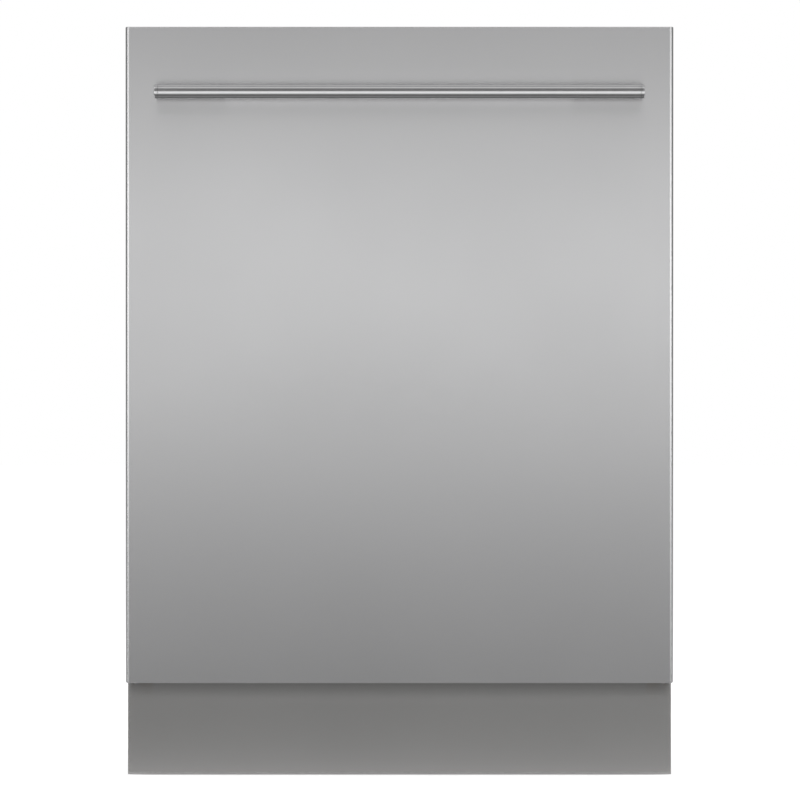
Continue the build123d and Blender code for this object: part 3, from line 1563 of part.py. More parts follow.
# Lower rack, with fixed tine rows, axle brackets and stub axles
wheel_z = tub_floor_z + wheel_radius + slip
front_wheel_inset = 60.0
rear_wheel_inset = 40.0
wheel_y = {"front_wheels": rack_front_y + front_wheel_inset, "rear_wheels": rack_rear_y - rear_wheel_inset}
bracket_outer_x = rack_half_width + wire_radius
wheel_gap = 1.0
wheel_inner_x = bracket_outer_x + wheel_gap
axle_radius = 4.0
axle_root = 1.0
axle_head = 2.0
bracket_wall = 6.0
bracket_half_depth = 9.0
bracket_foot = 4.5
basket_x = (168.0, 240.0)
tine_basket_gap = 14.0
lower_tines = (-232.0, basket_x[0] - tine_basket_gap)
row_pitch = 90.0
first_row_setback = 45.0
first_row_y = rack_front_y + first_row_setback
folding_row = 2
lower_low_wire = 28.0
lower_side_heights = [
    lower_rack_z + lower_low_wire,
    (lower_rack_z + lower_rim_z) / 2,
    lower_rim_z,
]
lower_front_heights = [
    lower_rack_z + lower_low_wire,
    (lower_rack_z + lower_front_rim_z) / 2,
    lower_front_rim_z,
]
lower_pieces = wire_rack(lower_rack_z, lower_side_heights, lower_front_heights)
row_count = int((rack_rear_y - first_row_y) / row_pitch) + 1
for i in range(row_count):
    if i != folding_row:
        lower_pieces.append(tine_row(first_row_y + i * row_pitch, lower_rack_z, *lower_tines, tine_height))
for y in wheel_y.values():
    for side in (-1, 1):
        with BuildPart() as bracket:
            xs = sorted((side * (bracket_outer_x - bracket_wall), side * bracket_outer_x))
            ys = (y - bracket_half_depth, y + bracket_half_depth)
            block(xs, ys, (wheel_z - bracket_foot, lower_rack_z - wire_radius - slip))
            head_x = wheel_inner_x + wheel_width + slip
            axle_x = bracket_outer_x - axle_root
            rods([(side * axle_x, y, wheel_z)], (side, 0, 0), head_x - axle_x + axle_head, axle_radius)
            rods([(side * head_x, y, wheel_z)], (side, 0, 0), axle_head, axle_radius + axle_head)
        lower_pieces.append(bracket.part)
lower_rack = Compound(children=lower_pieces)
write(lower_rack, "lower_rack")

# Folding tine row: turns about its own base wire
folding_tines = tine_row(first_row_y + folding_row * row_pitch, lower_rack_z, *lower_tines, tine_height)
write(folding_tines, "folding_tines")

# Rack wheels: a left and a right one on each axle line, with a rounded tread and five openings
tread_radius = 1.5
wheel_openings = 5
wheel_opening_radius = 3.2
wheel_opening_ring = 10.8
for label, y in wheel_y.items():
    with BuildPart() as wheels:
        rods([(wheel_inner_x, y, wheel_z)], (1, 0, 0), wheel_width, wheel_radius)
        fillet(wheels.edges().filter_by(GeomType.CIRCLE), tread_radius)
        with Locations(Location(Plane(origin=(wheel_inner_x, y, wheel_z), z_dir=(1, 0, 0)))):
            with PolarLocations(wheel_opening_ring, wheel_openings):
                Cylinder(wheel_opening_radius, 4 * wheel_width, mode=Mode.SUBTRACT)
            Cylinder(axle_radius + run_fit, 4 * wheel_width, mode=Mode.SUBTRACT)
        mirror(about=Plane.YZ)
    write(wheels.part, label)

# Cutlery basket: open box with slotted walls, three partitions and a handle
basket_low_z = lower_rack_z + wire_step + wire_radius + seat
basket_setback = 13.0
basket_length = 240.0
basket_y = (rack_front_y + basket_setback, rack_front_y + basket_setback + basket_length)
basket_height = 120.0
basket_wall = 2.0
basket_cells = 4
basket_corner_radius = 6.0
basket_slot_width = 5.0
basket_slot_pitch = 9.5
basket_slot_height = 78.0
long_side_slots = 24
short_side_slots = 6
bail_half = 9.0
bail_height = 55.0
bail_bar = (45.0, 58.0)
basket_middle_y = sum(basket_y) / 2
basket_middle_x = sum(basket_x) / 2
with BuildPart() as cutlery_basket:
    block(basket_x, basket_y, (basket_low_z, basket_low_z + basket_height))
    fillet(cutlery_basket.edges().filter_by(Axis.Z), basket_corner_radius)
    cell_length = (basket_y[1] - basket_y[0] - basket_wall) / basket_cells
    for i in range(basket_cells):
        cell_low_y = basket_y[0] + basket_wall + i * cell_length
        block(
            (basket_x[0] + basket_wall, basket_x[1] - basket_wall),
            (cell_low_y, cell_low_y + cell_length - basket_wall),
            (basket_low_z + basket_wall, basket_low_z + basket_height + past),
            Mode.SUBTRACT,
        )
    with Locations((basket_middle_x, basket_middle_y, basket_low_z + basket_height / 2)):
        with GridLocations(0, basket_slot_pitch, 1, long_side_slots):
            Box(2 * (basket_x[1] - basket_x[0]), basket_slot_width, basket_slot_height, mode=Mode.SUBTRACT)
        with GridLocations(basket_slot_pitch, 0, short_side_slots, 1):
            Box(basket_slot_width, 2 * basket_length, basket_slot_height, mode=Mode.SUBTRACT)
    for x in (basket_x[0] + basket_wall / 2, basket_x[1] - basket_wall / 2):
        block(
            (x - basket_wall / 2, x + basket_wall / 2),
            (basket_middle_y - bail_half, basket_middle_y + bail_half),
            (basket_low_z, basket_low_z + basket_height + bail_height),
        )
    block(
        basket_x,
        (basket_middle_y - bail_half, basket_middle_y + bail_half),
        (basket_low_z + basket_height + bail_bar[0], basket_low_z + basket_height + bail_bar[1]),
    )
write(cutlery_basket.part, "cutlery_basket")

# Upper rack handle: grip that straddles the front rim
grip_half = 60.0
grip_low_z = upper_rim_z + wire_radius + seat
grip_front_y = rack_front_y - 5.5
grip_rear_y = rack_front_y + 8.5
grip_height = 15.0
grip_front_lip = 12.0
grip_rear_lip = 8.0
grip_edge_radius = 3.0
with BuildPart() as upper_rack_handle:
    block((-grip_half, grip_half), (grip_front_y, grip_rear_y), (grip_low_z, grip_low_z + grip_height))
    block(
        (-grip_half, grip_half),
        (grip_front_y, rack_front_y - wire_radius - slip),
        (grip_low_z - grip_front_lip, grip_low_z),
    )
    block(
        (-grip_half, grip_half),
        (rack_front_y + wire_step + wire_radius + slip, grip_rear_y),
        (grip_low_z - grip_rear_lip, grip_low_z),
    )
    fillet(upper_rack_handle.edges().filter_by(Axis.X).group_by(Axis.Z)[-1], grip_edge_radius)
write(upper_rack_handle.part, "upper_rack_handle")

# Cup shelf: comb plate that folds up, clipped round a long wire of the upper rack
shelf_reach = 92.0
shelf_drop = 6.0
shelf_thickness = 4.0
side_pitch = (rack_rear_y - rack_front_y) / (side_wires - 1)
clip_spaces = (3.5, 9.5)
clip_places = [rack_front_y + side_pitch * space for space in clip_spaces]
clip_length = 16.0
clip_radius = 5.0
shelf_low_z = shelf_wire_z - shelf_drop - shelf_thickness / 2
shelf_overhang = 18.0
shelf_corner_radius = 4.0
shelf_slots = 10
shelf_slot_pitch = 22.0
shelf_slot_width = 12.0
shelf_slot_inset = 6.0
shelf_bar = 20.0
clip_arm = (12.0, 2.0)
shelf_y = (clip_places[0] - shelf_overhang, clip_places[1] + shelf_overhang)
with BuildPart() as cup_shelf:
    block(
        (inner_wire - shelf_reach, inner_wire - clip_radius),
        shelf_y,
        (shelf_low_z, shelf_low_z + shelf_thickness),
    )
    fillet(cup_shelf.edges().filter_by(Axis.Z), shelf_corner_radius)
    with Locations((inner_wire - shelf_reach / 2 - shelf_slot_inset, sum(shelf_y) / 2, shelf_low_z)):
        with GridLocations(0, shelf_slot_pitch, 1, shelf_slots):
            Box(shelf_reach - 2 * shelf_bar, shelf_slot_width, 4 * shelf_thickness, mode=Mode.SUBTRACT)
    for y in clip_places:
        block(
            (inner_wire - clip_arm[0], inner_wire - clip_arm[1]),
            (y - clip_length / 2, y + clip_length / 2),
            (shelf_low_z, shelf_wire_z),
        )
        rods([(inner_wire, y - clip_length / 2, shelf_wire_z)], (0, 1, 0), clip_length, clip_radius)
    rods(
        [(inner_wire, shelf_y[0] - past, shelf_wire_z)],
        (0, 1, 0),
        shelf_y[1] - shelf_y[0] + 2 * past,
        wire_radius + 2 * run_fit,
        Mode.SUBTRACT,
    )
write(cup_shelf.part, "cup_shelf")

# Rails: channel on the tub wall, slider inside it and runner on the rack, one set each side
rail_wall = 1.2
rail_z = 565.0
channel_half_height = 20.0
channel_width = 11.0
rail_setback = 12.0
hook_inset = 70.0
hook_half = 12.0
hook_margin = 4.0
rail_y = (front_y + rail_setback, rack_rear_y)
channel_outer_x = half_tub - seat
slider_half_height = channel_half_height - rail_wall - slip
slider_outer_x = channel_outer_x - rail_wall - slip
runner_half_height = slider_half_height - rail_wall - slip
runner_outer_x = slider_outer_x - rail_wall - slip
runner_extra = 2.0


def rail(label, outer_x, width, half_height, flip):
    """Folded channel along Y on both sides, open towards the middle, or away from it when flipped."""
    with BuildPart() as profile:
        block((outer_x - width, outer_x), rail_y, (rail_z - half_height, rail_z + half_height))
        block(
            (outer_x - width + (rail_wall if flip else -past), outer_x + (past if flip else -rail_wall)),
            (rail_y[0] - past, rail_y[1] + past),
            (rail_z - half_height + rail_wall, rail_z + half_height - rail_wall),
            Mode.SUBTRACT,
        )
        if flip:
            for y in (rail_y[0] + hook_inset, rail_y[1] - hook_inset):
                block(
                    (rack_half_width + wire_radius + slip, outer_x - width + rail_wall),
                    (y - hook_half, y + hook_half),
                    (rail_z - half_height + hook_margin, rail_z + half_height - hook_margin),
                )
        mirror(about=Plane.YZ)
    write(profile.part, label)


rail("rail_channels", channel_outer_x, channel_width, channel_half_height, False)
rail("rail_sliders", slider_outer_x, channel_width, slider_half_height, False)
rail("rail_runners", runner_outer_x, channel_width + runner_extra, runner_half_height, True)
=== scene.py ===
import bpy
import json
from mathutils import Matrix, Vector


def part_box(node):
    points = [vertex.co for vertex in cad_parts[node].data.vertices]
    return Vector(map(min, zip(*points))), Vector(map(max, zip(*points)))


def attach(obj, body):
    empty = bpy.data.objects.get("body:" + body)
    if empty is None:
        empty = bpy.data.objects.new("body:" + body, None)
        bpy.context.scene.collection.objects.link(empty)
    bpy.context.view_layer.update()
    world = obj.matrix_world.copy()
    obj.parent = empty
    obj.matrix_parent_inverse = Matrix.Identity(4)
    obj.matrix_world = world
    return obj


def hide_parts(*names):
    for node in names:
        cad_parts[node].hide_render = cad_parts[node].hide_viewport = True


bl_info = {
    "name": "Integrated dishwasher",
    "version": (1, 0, 0),
    "blender": (4, 5, 0),
    "location": "View3D > Sidebar > Dishwasher",
    "description": "Dresses the built-in dishwasher: steel front, handle, plinth, seal, felt, racks, studio",
    "category": "Object",
}

import json
import math

import bmesh
import bpy
from bpy.props import FloatProperty, FloatVectorProperty, IntProperty, PointerProperty
from bpy.types import Operator, Panel, PropertyGroup
from mathutils import Matrix, Vector

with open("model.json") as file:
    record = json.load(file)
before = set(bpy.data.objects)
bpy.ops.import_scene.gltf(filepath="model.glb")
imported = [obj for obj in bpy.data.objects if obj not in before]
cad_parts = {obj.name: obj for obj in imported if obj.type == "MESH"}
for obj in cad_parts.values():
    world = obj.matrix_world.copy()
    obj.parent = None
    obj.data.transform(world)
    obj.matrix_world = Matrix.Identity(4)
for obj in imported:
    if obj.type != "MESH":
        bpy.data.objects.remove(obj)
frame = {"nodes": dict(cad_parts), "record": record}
nodes = frame["nodes"]
slots = {row["node"]: row["material_slot"] for row in frame["record"]["subparts"]}
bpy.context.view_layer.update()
MM = 0.001
# Places closer together than this count as one, in metres
NEAR = 1e-5


def length(name, description, millimetres):
    """A length in metres, with its default given in millimetres."""
    return FloatProperty(
        name=name, description=description, default=millimetres * MM, min=0.0, unit="LENGTH", precision=4
    )


def colour_property(name, description, colour):
    """A linear surface colour."""
    return FloatVectorProperty(
        name=name, description=description, default=colour, min=0.0, max=1.0, size=3, subtype="COLOR"
    )


# Sizes and colours that a user may change


class DishwasherSizes(PropertyGroup):
    skin_wall: length("Skin wall", "Thickness of the folded steel door skin", 0.8)
    skin_long_edge: length("Long edge", "Radius of the skin's upright edges", 4.2)
    skin_short_edge: length("Short edge", "Radius of the skin's top and bottom edges", 1.0)
    skin_corner: length("Lower corner", "Radius of the skin's two lower corners", 2.5)
    bar_front_edge: length("Bar front edge", "Radius of the handle bar's front edges", 5.0)
    bar_rear_edge: length("Bar rear edge", "Radius of the handle bar's rear edges", 2.0)
    bar_crown: length("Bar crown", "How far the middle of the handle bar's front stands out", 0.18)
    bar_wall: length("Bar wall", "Wall of the handle tube", 1.8)
    cap_seam: length("Cap seam", "Gap between the handle tube and an end cap", 0.35)
    cap_edge: length("Cap edge", "Radius of an end cap's outer edge", 1.0)
    post_width: length("Post width", "Width of each handle post", 76.0)
    post_edge: length("Post edge", "Radius of the handle posts' corners", 2.0)
    plinth_edge: length("Plinth edge", "Radius of the plinth's upright front edges", 1.5)
    felt_thickness: length("Felt thickness", "Thickness of the felt over the tub", 8.0)
    wire_radius: length("Wire radius", "Radius of the coated rack wires", 2.0)
    tine_radius: length("Tine radius", "Radius of the rack tines", 1.6)
    wire_bend: length("Wire bend", "Radius of the bends where a floor wire turns up", 6.0)
    rim_bend: length("Rim bend", "Radius of the racks' corners, seen from above", 18.0)
    dip_bend: length("Dip bend", "Radius of the bends where a lower rack's rim dips in front", 10.0)
    wire_sides: IntProperty(name="Wire sides", description="Sides of a rack wire's section", default=8, min=5, max=16)


class DishwasherFinishes(PropertyGroup):
    steel: colour_property("Front steel", "Brushed steel of the door", (0.60, 0.60, 0.605))
    handle: colour_property("Handle steel", "Satin steel of the handle bar", (0.51, 0.51, 0.515))
    # Painted shade: the posts' near-black stands in for the shade under the handle's ends that the door mirrors;
    # their dark colour is a guess
    post: colour_property("Handle posts", "Dark plastic of the handle's posts", (0.03, 0.03, 0.032))
    # Painted shade: the front steel made darker, for the shade that the door's overhang casts on the plinth
    plinth: colour_property("Plinth steel", "Duller brushed steel of the plinth", (0.51, 0.503, 0.497))
    tub: colour_property("Tub steel", "Smooth steel of the tub and the door's liner", (0.62, 0.62, 0.62))
    zinc: colour_property("Galvanised sheet", "Zinc-coated side, top and rear sheets", (0.55, 0.56, 0.57))
    coated_wire: colour_property("Rack coating", "Nylon coat of the rack wires", (0.42, 0.43, 0.45))
    grey_plastic: colour_property("Tub plastic", "Grey plastic of the arms, pipes and basket", (0.30, 0.31, 0.33))
    black_plastic: colour_property("Base plastic", "Black plastic of the base tray and feet", (0.035, 0.035, 0.038))
    blue_plastic: colour_property("Cap plastic", "Blue plastic of the salt and rinse aid caps", (0.12, 0.28, 0.50))
    felt: colour_property("Felt", "Pressed fibre felt round the tub", (0.085, 0.085, 0.092))
    studio: colour_property("Studio", "Floor of the studio", (0.80, 0.80, 0.80))


# Shader nodes


def feed(tree, socket, value):
    """Give an input a value, or link it to the output that feeds it."""
    if isinstance(value, bpy.types.NodeSocket):
        tree.links.new(value, socket)
    else:
        socket.default_value = value


def add_node(tree, kind, operation=None, **inputs):
    """A shader node, with values or the outputs of other nodes for its inputs, by name."""
    node = tree.nodes.new("ShaderNode" + kind)
    if operation:
        node.operation = operation
    for label, value in inputs.items():
        feed(tree, node.inputs[label.replace("_", " ")], value)
    return node


def add_math(tree, operation, *values):
    """Result of a Math node on one or two values."""
    node = add_node(tree, "Math", operation)
    for socket, value in zip(node.inputs, values):
        feed(tree, socket, value)
    return node.outputs["Value"]


def object_place(tree):
    """Object coordinates."""
    return add_node(tree, "TexCoord").outputs["Object"]


def stretched_place(tree, scale):
    """Object coordinates, each axis with its own scale."""
    stretch = add_node(tree, "VectorMath", "MULTIPLY")
    feed(tree, stretch.inputs[0], object_place(tree))
    feed(tree, stretch.inputs[1], scale)
    return stretch.outputs["Vector"]


def placed_noise(tree, scale, detail, roughness):
    """Noise on object coordinates that are stretched by a scale vector."""
    place = stretched_place(tree, scale)
    return add_node(tree, "TexNoise", Vector=place, Scale=1.0, Detail=detail, Roughness=roughness).outputs["Fac"]


def placed_cells(tree, place, scale):
    """Cells of a pattern: their height, and two values that differ from cell to cell."""
    cells = add_node(tree, "TexVoronoi", Vector=place, Scale=scale)
    split = add_node(tree, "SeparateColor", Color=cells.outputs["Color"])
    return cells.outputs["Distance"], split.outputs["Red"], split.outputs["Green"]


def remap(tree, value, low, high, from_low=0.0, from_high=1.0):
    """Value between a low and a high one, led by another value between its own limits."""
    spread = add_node(tree, "MapRange", Value=value, From_Min=from_low, From_Max=from_high, To_Min=low, To_Max=high)
    return spread.outputs["Result"]


# Effects that several finishes share, as groups that put out colours, values and heights

# Noise stays between these values nearly everywhere
NOISE_SPAN = (0.3, 0.7)


def effect(name, dark, light, **inputs):
    """A node group with a dark and a light colour and other inputs, and the sockets that they start from."""
    group = bpy.data.node_groups.new(name, "ShaderNodeTree")
    for label, value in {**inputs, "Dark": (*dark, 1.0), "Light": (*light, 1.0)}.items():
        kind = "Float" if isinstance(value, float) else "Vector" if len(value) == 3 else "Color"
        socket = group.interface.new_socket(
            label.replace("_", " "), in_out="INPUT", socket_type="NodeSocket" + kind
        )
        socket.default_value = value
    return group, group.nodes.new("NodeGroupInput").outputs


def fill_effect(group, start, shade, height, gloss=None, span=NOISE_SPAN):
    """Let a shade lead the group's colour and, where it has one, a gloss its roughness; pass on its height."""
    mix = add_node(group, "Mix", Factor=shade)
    mix.data_type = "RGBA"
    # The node has inputs for every kind of data, of which these two are its colours
    group.links.new(start["Dark"], mix.inputs[6])
    group.links.new(start["Light"], mix.inputs[7])
    results = {"Colour": mix.outputs[2], "Height": height}
    if gloss is not None:
        results["Roughness"] = remap(group, gloss, start["Smooth"], start["Rough"], *span)
    for label in results:
        kind = "Color" if label == "Colour" else "Float"
        group.interface.new_socket(label, in_out="OUTPUT", socket_type="NodeSocket" + kind)
    end = group.nodes.new("NodeGroupOutput").inputs
    for label, value in results.items():
        group.links.new(value, end[label])
    return group


def build_brushed_lines():
    """Long fine scratches of brushed sheet, over soft cloudy patches left by handling."""
    dark, light = (0.58, 0.58, 0.585), (0.62, 0.62, 0.625)
    scales = {"Line_Scale": (5.0, 5.0, 1400.0), "Patch_Scale": (5.0, 5.0, 5.0)}
    group, start = effect("Brushed Lines", dark, light, **scales, Smooth=0.28, Rough=0.34)
    lines = placed_noise(group, start["Line Scale"], 3.0, 0.7)
    patches = placed_noise(group, start["Patch Scale"], 2.0, 0.5)
    return fill_effect(group, start, lines, lines, patches)


def build_moulded_grain():
    """Fine spark-eroded texture of moulded plastic, with slight unevenness of colour and shine."""
    dark, light = (0.05, 0.05, 0.05), (0.06, 0.06, 0.06)
    scales = {"Grain_Scale": (1800.0, 1800.0, 1800.0), "Patch_Scale": (9.0, 9.0, 9.0)}
    group, start = effect("Moulded Grain", dark, light, **scales, Smooth=0.42, Rough=0.55)
    grain = placed_noise(group, start["Grain Scale"], 2.0, 0.6)
    patches = placed_noise(group, start["Patch Scale"], 3.0, 0.6)
    return fill_effect(group, start, patches, grain, patches)


def build_zinc_spangle():
    """Crystal flakes of hot-dipped zinc: cells of slightly different shade and shine."""
    dark, light = (0.50, 0.51, 0.52), (0.58, 0.59, 0.60)
    group, start = effect("Zinc Spangle", dark, light, Flake_Size=130.0, Smooth=0.40, Rough=0.47)
    height, shade, gloss = placed_cells(group, object_place(group), start["Flake Size"])
    return fill_effect(group, start, shade, height, gloss, (0.0, 1.0))


def build_pressed_fibres():
    """Tangled fibres of recycled felt with pale and dark threads."""
    dark, light = (0.05, 0.05, 0.055), (0.16, 0.16, 0.17)
    scales = {"Fibre_Scale": (260.0, 900.0, 900.0), "Lump_Scale": (40.0, 40.0, 40.0)}
    group, start = effect("Pressed Fibres", dark, light, **scales)
    fibres = placed_noise(group, start["Fibre Scale"], 4.0, 0.75)
    lumps = placed_noise(group, start["Lump Scale"], 4.0, 0.6)
    shade = remap(group, fibres, 0.0, 1.0, 0.38, 0.66)
    return fill_effect(group, start, shade, add_math(group, "ADD", fibres, lumps))


def build_wood_chips():
    """Flat chips of particle board, each its own shade."""
    dark, light = (0.34, 0.22, 0.12), (0.62, 0.47, 0.30)
    group, start = effect("Wood Chips", dark, light, Chip_Scale=(260.0, 260.0, 420.0))
    height, shade, _ = placed_cells(group, stretched_place(group, start["Chip Scale"]), 1.0)
    return fill_effect(group, start, shade, height)


# Finishes


def set_shader(material, **constants):
    """Set the Principled shader's sockets by name."""
    shader = material.node_tree.nodes["Principled BSDF"]
    for label, value in constants.items():
        shader.inputs[label.replace("_", " ")].default_value = value


def finish(name, colour, metallic, roughness, **constants):
    """A material whose Principled shader has the given constants."""
    material = bpy.data.materials.new(name)
    material.use_nodes = True
    material.diffuse_color = (*colour, 1.0)
    set_shader(material, Base_Color=(*colour, 1.0), Metallic=metallic, Roughness=roughness, **constants)
    return material


def add_effect(material, group, values, bump, depth):
    """Put an effect into a material; its height feeds a Bump node of a strength, over a depth in millimetres."""
    tree = material.node_tree
    shader = tree.nodes["Principled BSDF"]
    node = tree.nodes.new("ShaderNodeGroup")
    node.node_tree = group
    for label, value in values.items():
        node.inputs[label].default_value = value
    tree.links.new(node.outputs["Colour"], shader.inputs["Base Color"])
    if "Roughness" in node.outputs:
        tree.links.new(node.outputs["Roughness"], shader.inputs["Roughness"])
    raised = add_node(tree, "Bump", Strength=bump, Distance=depth * MM, Height=node.outputs["Height"])
    tree.links.new(raised.outputs["Normal"], shader.inputs["Normal"])


def shades(colour, spread):
    """A darker and a lighter version of a colour, as socket values."""
    dark = tuple(value * (1.0 - spread) for value in colour)
    light = tuple(min(1.0, value * (1.0 + spread)) for value in colour)
    return {"Dark": (*dark, 1.0), "Light": (*light, 1.0)}


def steel_finish(group, name, colour, lines, smooth, rough, bump=0.06, spread=0.02):
    """Steel whose grain runs along the axes with the small scale values."""
    material = finish(name, colour, 1.0, smooth)
    values = {"Line Scale": lines, "Smooth": smooth, "Rough": rough, **shades(colour, spread)}
    add_effect(material, group, values, bump, 0.05)
    return material


def plastic_finish(group, name, colour, smooth, rough, bump=0.25):
    """Moulded plastic with a fine grain."""
    material = finish(name, colour, 0.0, smooth)
    add_effect(material, group, {"Smooth": smooth, "Rough": rough, **shades(colour, 0.08)}, bump, 0.08)
    return material


def build_finishes(colours):
    """Every material of the dishwasher, by the name of its slot or look."""
    # Name, colour, scales of the grain, least and most roughness, and the height and the spread of its lines
    level_brushing = (5.0, 5.0, 1400.0)
    steels = {
        "front_steel": ("Brushed steel front", colours.steel, level_brushing, 0.22, 0.235),
        # Painted shade: the plinth's steel is the front's, only darker, for the shade under the door's overhang
        "plinth_shaded_steel": ("Brushed steel plinth", colours.plinth, level_brushing, 0.22, 0.235),
        "handle_steel": ("Satin handle steel", colours.handle, (6.0, 1500.0, 1500.0), 0.16, 0.19),
        "tub_steel": ("Smooth tub steel", colours.tub, (30.0, 30.0, 30.0), 0.22, 0.30, 0.03, 0.03),
        "bracket_steel": ("Zinc-plated steel", (0.46, 0.47, 0.48), (60.0, 60.0, 60.0), 0.34, 0.46, 0.05, 0.06),
        "filter_steel": ("Perforated filter steel", (0.55, 0.55, 0.55), (500.0, 500.0, 500.0), 0.3, 0.4, 0.05, 0.04),
    }
    # Name, colour, least and most roughness, and the height of its grain
    plastics = {
        # Painted shade: near-black, barely shiny posts, so that the door mirrors a dark patch under the handle's ends
        "post_painted_shade": ("Dark handle post", colours.post, 0.6, 0.72),
        "base_plastic": ("Black base plastic", colours.black_plastic, 0.48, 0.62),
        "pump_plastic": ("Dark pump plastic", (0.07, 0.07, 0.075), 0.4, 0.55),
        "valve_plastic": ("White nylon", (0.72, 0.72, 0.69), 0.35, 0.48, 0.15),
        "tub_plastic": ("Grey polypropylene", colours.grey_plastic, 0.38, 0.5, 0.2),
        "cap_plastic": ("Blue cap plastic", colours.blue_plastic, 0.32, 0.42, 0.15),
        "lid_plastic": ("Light grey lid plastic", (0.42, 0.43, 0.45), 0.34, 0.45, 0.15),
        "strip_plastic": ("Black satin strip", (0.012, 0.012, 0.014), 0.16, 0.26, 0.05),
        "button_plastic": ("Silver-grey keys", (0.40, 0.40, 0.41), 0.28, 0.36, 0.1),
        "latch_plastic": ("Acetal latch", (0.68, 0.68, 0.66), 0.3, 0.4, 0.1),
        "seal_rubber": ("Seal rubber", (0.022, 0.022, 0.023), 0.55, 0.75, 0.35),
        "rack_wire": ("Nylon-coated wire", colours.coated_wire, 0.24, 0.34, 0.08),
    }
    made = {
        "display_glass": finish("Dark display pane", (0.008, 0.008, 0.01), 0.0, 0.06, Coat_Weight=0.4),
        "galvanised": finish("Galvanised sheet", colours.zinc, 1.0, 0.45),
        "felt": finish("Pressed felt", colours.felt, 0.0, 0.95, Sheen_Weight=0.35, Specular_IOR_Level=0.1),
        "board": finish("Particle board", (0.48, 0.35, 0.21), 0.0, 0.8, Specular_IOR_Level=0.2),
    }
    brushed = build_brushed_lines()
    for slot, values in steels.items():
        made[slot] = steel_finish(brushed, *values)
    moulded = build_moulded_grain()
    for slot, values in plastics.items():
        made[slot] = plastic_finish(moulded, *values)
    # Reflections spread up and down, across the level brushing
    for slot in ("front_steel", "plinth_shaded_steel"):
        set_shader(made[slot], Anisotropic=0.85, Anisotropic_Rotation=0.25)
    # Painted shade: the posts hardly reflect, so their mirror image in the door stays dark
    set_shader(made["post_painted_shade"], Specular_IOR_Level=0.05)
    set_shader(made["rack_wire"], Coat_Weight=0.25)
    add_effect(made["galvanised"], build_zinc_spangle(), shades(colours.zinc, 0.05), 0.04, 0.05)
    add_effect(made["felt"], build_pressed_fibres(), shades(colours.felt, 0.45), 0.8, 0.6)
    add_effect(made["board"], build_wood_chips(), {}, 0.4, 0.2)
    mark_display(made["display_glass"])
    return made


def mark_display(material):
    """Faint finger marks on the display pane: roughness from soft noise."""
    tree = material.node_tree
    marks = add_node(tree, "TexNoise", Vector=object_place(tree), Scale=60.0).outputs["Fac"]
    tree.links.new(remap(tree, marks, 0.04, 0.16), tree.nodes["Principled BSDF"].inputs["Roughness"])


def look_key(look):
    """Name of the scene's own property that keeps which material a look has."""
    return "dishwasher_finish_" + look


# Mesh helpers


def each_once(items):
    """The items without repeats, in the order in which they come."""
    return list(dict.fromkeys(items))


def mesh_object(name, bm):
    """Turn a bmesh into an object of the scene, and free it."""
    mesh = bpy.data.meshes.new(name)
    bm.to_mesh(mesh)
    bm.free()
    holder = bpy.data.objects.new(name, mesh)
    bpy.context.scene.collection.objects.link(holder)
    return holder


def new_piece(name, bm, body, replaced, look=None, sharp=32.0):
    """Turn a bmesh into a smooth piece that rides on a body and stands for the CAD node named."""
    bmesh.ops.remove_doubles(bm, verts=bm.verts[:], dist=1e-6)
    bmesh.ops.recalc_face_normals(bm, faces=bm.faces[:])
    piece = mesh_object(name, bm)
    mesh = piece.data
    mesh.polygons.foreach_set("use_smooth", [True] * len(mesh.polygons))
    mesh.set_sharp_from_angle(angle=math.radians(sharp))
    slot = slots[replaced]
    mesh.materials.append(bpy.data.materials[bpy.context.scene[look_key(look or slot)]])
    flat_faces = piece.modifiers.new("Flat faces stay flat", "WEIGHTED_NORMAL")
    flat_faces.weight = 100
    flat_faces.keep_sharp = True
    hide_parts(replaced)
    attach(piece, body)
    return piece


def add_block(bm, low, high):
    """A box between two corners; returns its vertices."""
    low, high = Vector(low), Vector(high)
    matrix = Matrix.Translation((low + high) / 2) @ Matrix.Diagonal((*(high - low), 1.0))
    return bmesh.ops.create_cube(bm, size=1.0, matrix=matrix)["verts"]


def add_mesh(bm, other):
    """Add another bmesh to this one and free it."""
    mesh = bpy.data.meshes.new("joined")
    other.to_mesh(mesh)
    other.free()
    bm.from_mesh(mesh)
    bpy.data.meshes.remove(mesh)


def add_outline(bm, points):
    """A closed ring of edges through the points."""
    verts = [bm.verts.new(point) for point in points]
    return [bm.edges.new(pair) for pair in zip(verts, verts[1:] + verts[:1])]


def edges_at(verts, axis, **limits):
    """Edges of a box that run along an axis and lie on the given coordinates, such as y=-0.2."""
    found = []
    for edge in each_once(e for v in verts if v.is_valid for e in v.link_edges):
        along = edge.verts[1].co - edge.verts[0].co
        if abs(along["xyz".index(axis)]) < 0.999 * along.length:
            continue
        middle = (edge.verts[0].co + edge.verts[1].co) / 2
        if all(abs(middle["xyz".index(name)] - value) < NEAR for name, value in limits.items()):
            found.append(edge)
    return found


def round_edges(bm, edges, radius, segments=4):
    """Round some edges to a radius."""
    shape = {"affect": "EDGES", "segments": segments, "profile": 0.5, "material": -1}
    bmesh.ops.bevel(bm, geom=edges, offset=radius, offset_type="OFFSET", clamp_overlap=True, **shape)


def faces_facing(bm, direction, limit=None):
    """Flat faces of the mesh that look along a direction, only those as far along it as the limit."""
    direction = Vector(direction)
    found = []
    for face in bm.faces:
        face.normal_update()
        if face.normal.dot(direction) > 0.999:
            if limit is None or abs(face.calc_center_median().dot(direction) - limit) < NEAR:
                found.append(face)
    return found


def open_shell(bm, directions, wall):
    """Delete the flat faces that look along the directions and give what is left a wall, inwards."""
    for direction in directions:
        reach = max(v.co.dot(Vector(direction)) for v in bm.verts)
        bmesh.ops.delete(bm, geom=faces_facing(bm, direction, reach), context="FACES")
    bmesh.ops.recalc_face_normals(bm, faces=bm.faces[:])
    bmesh.ops.solidify(bm, geom=bm.faces[:], thickness=wall)


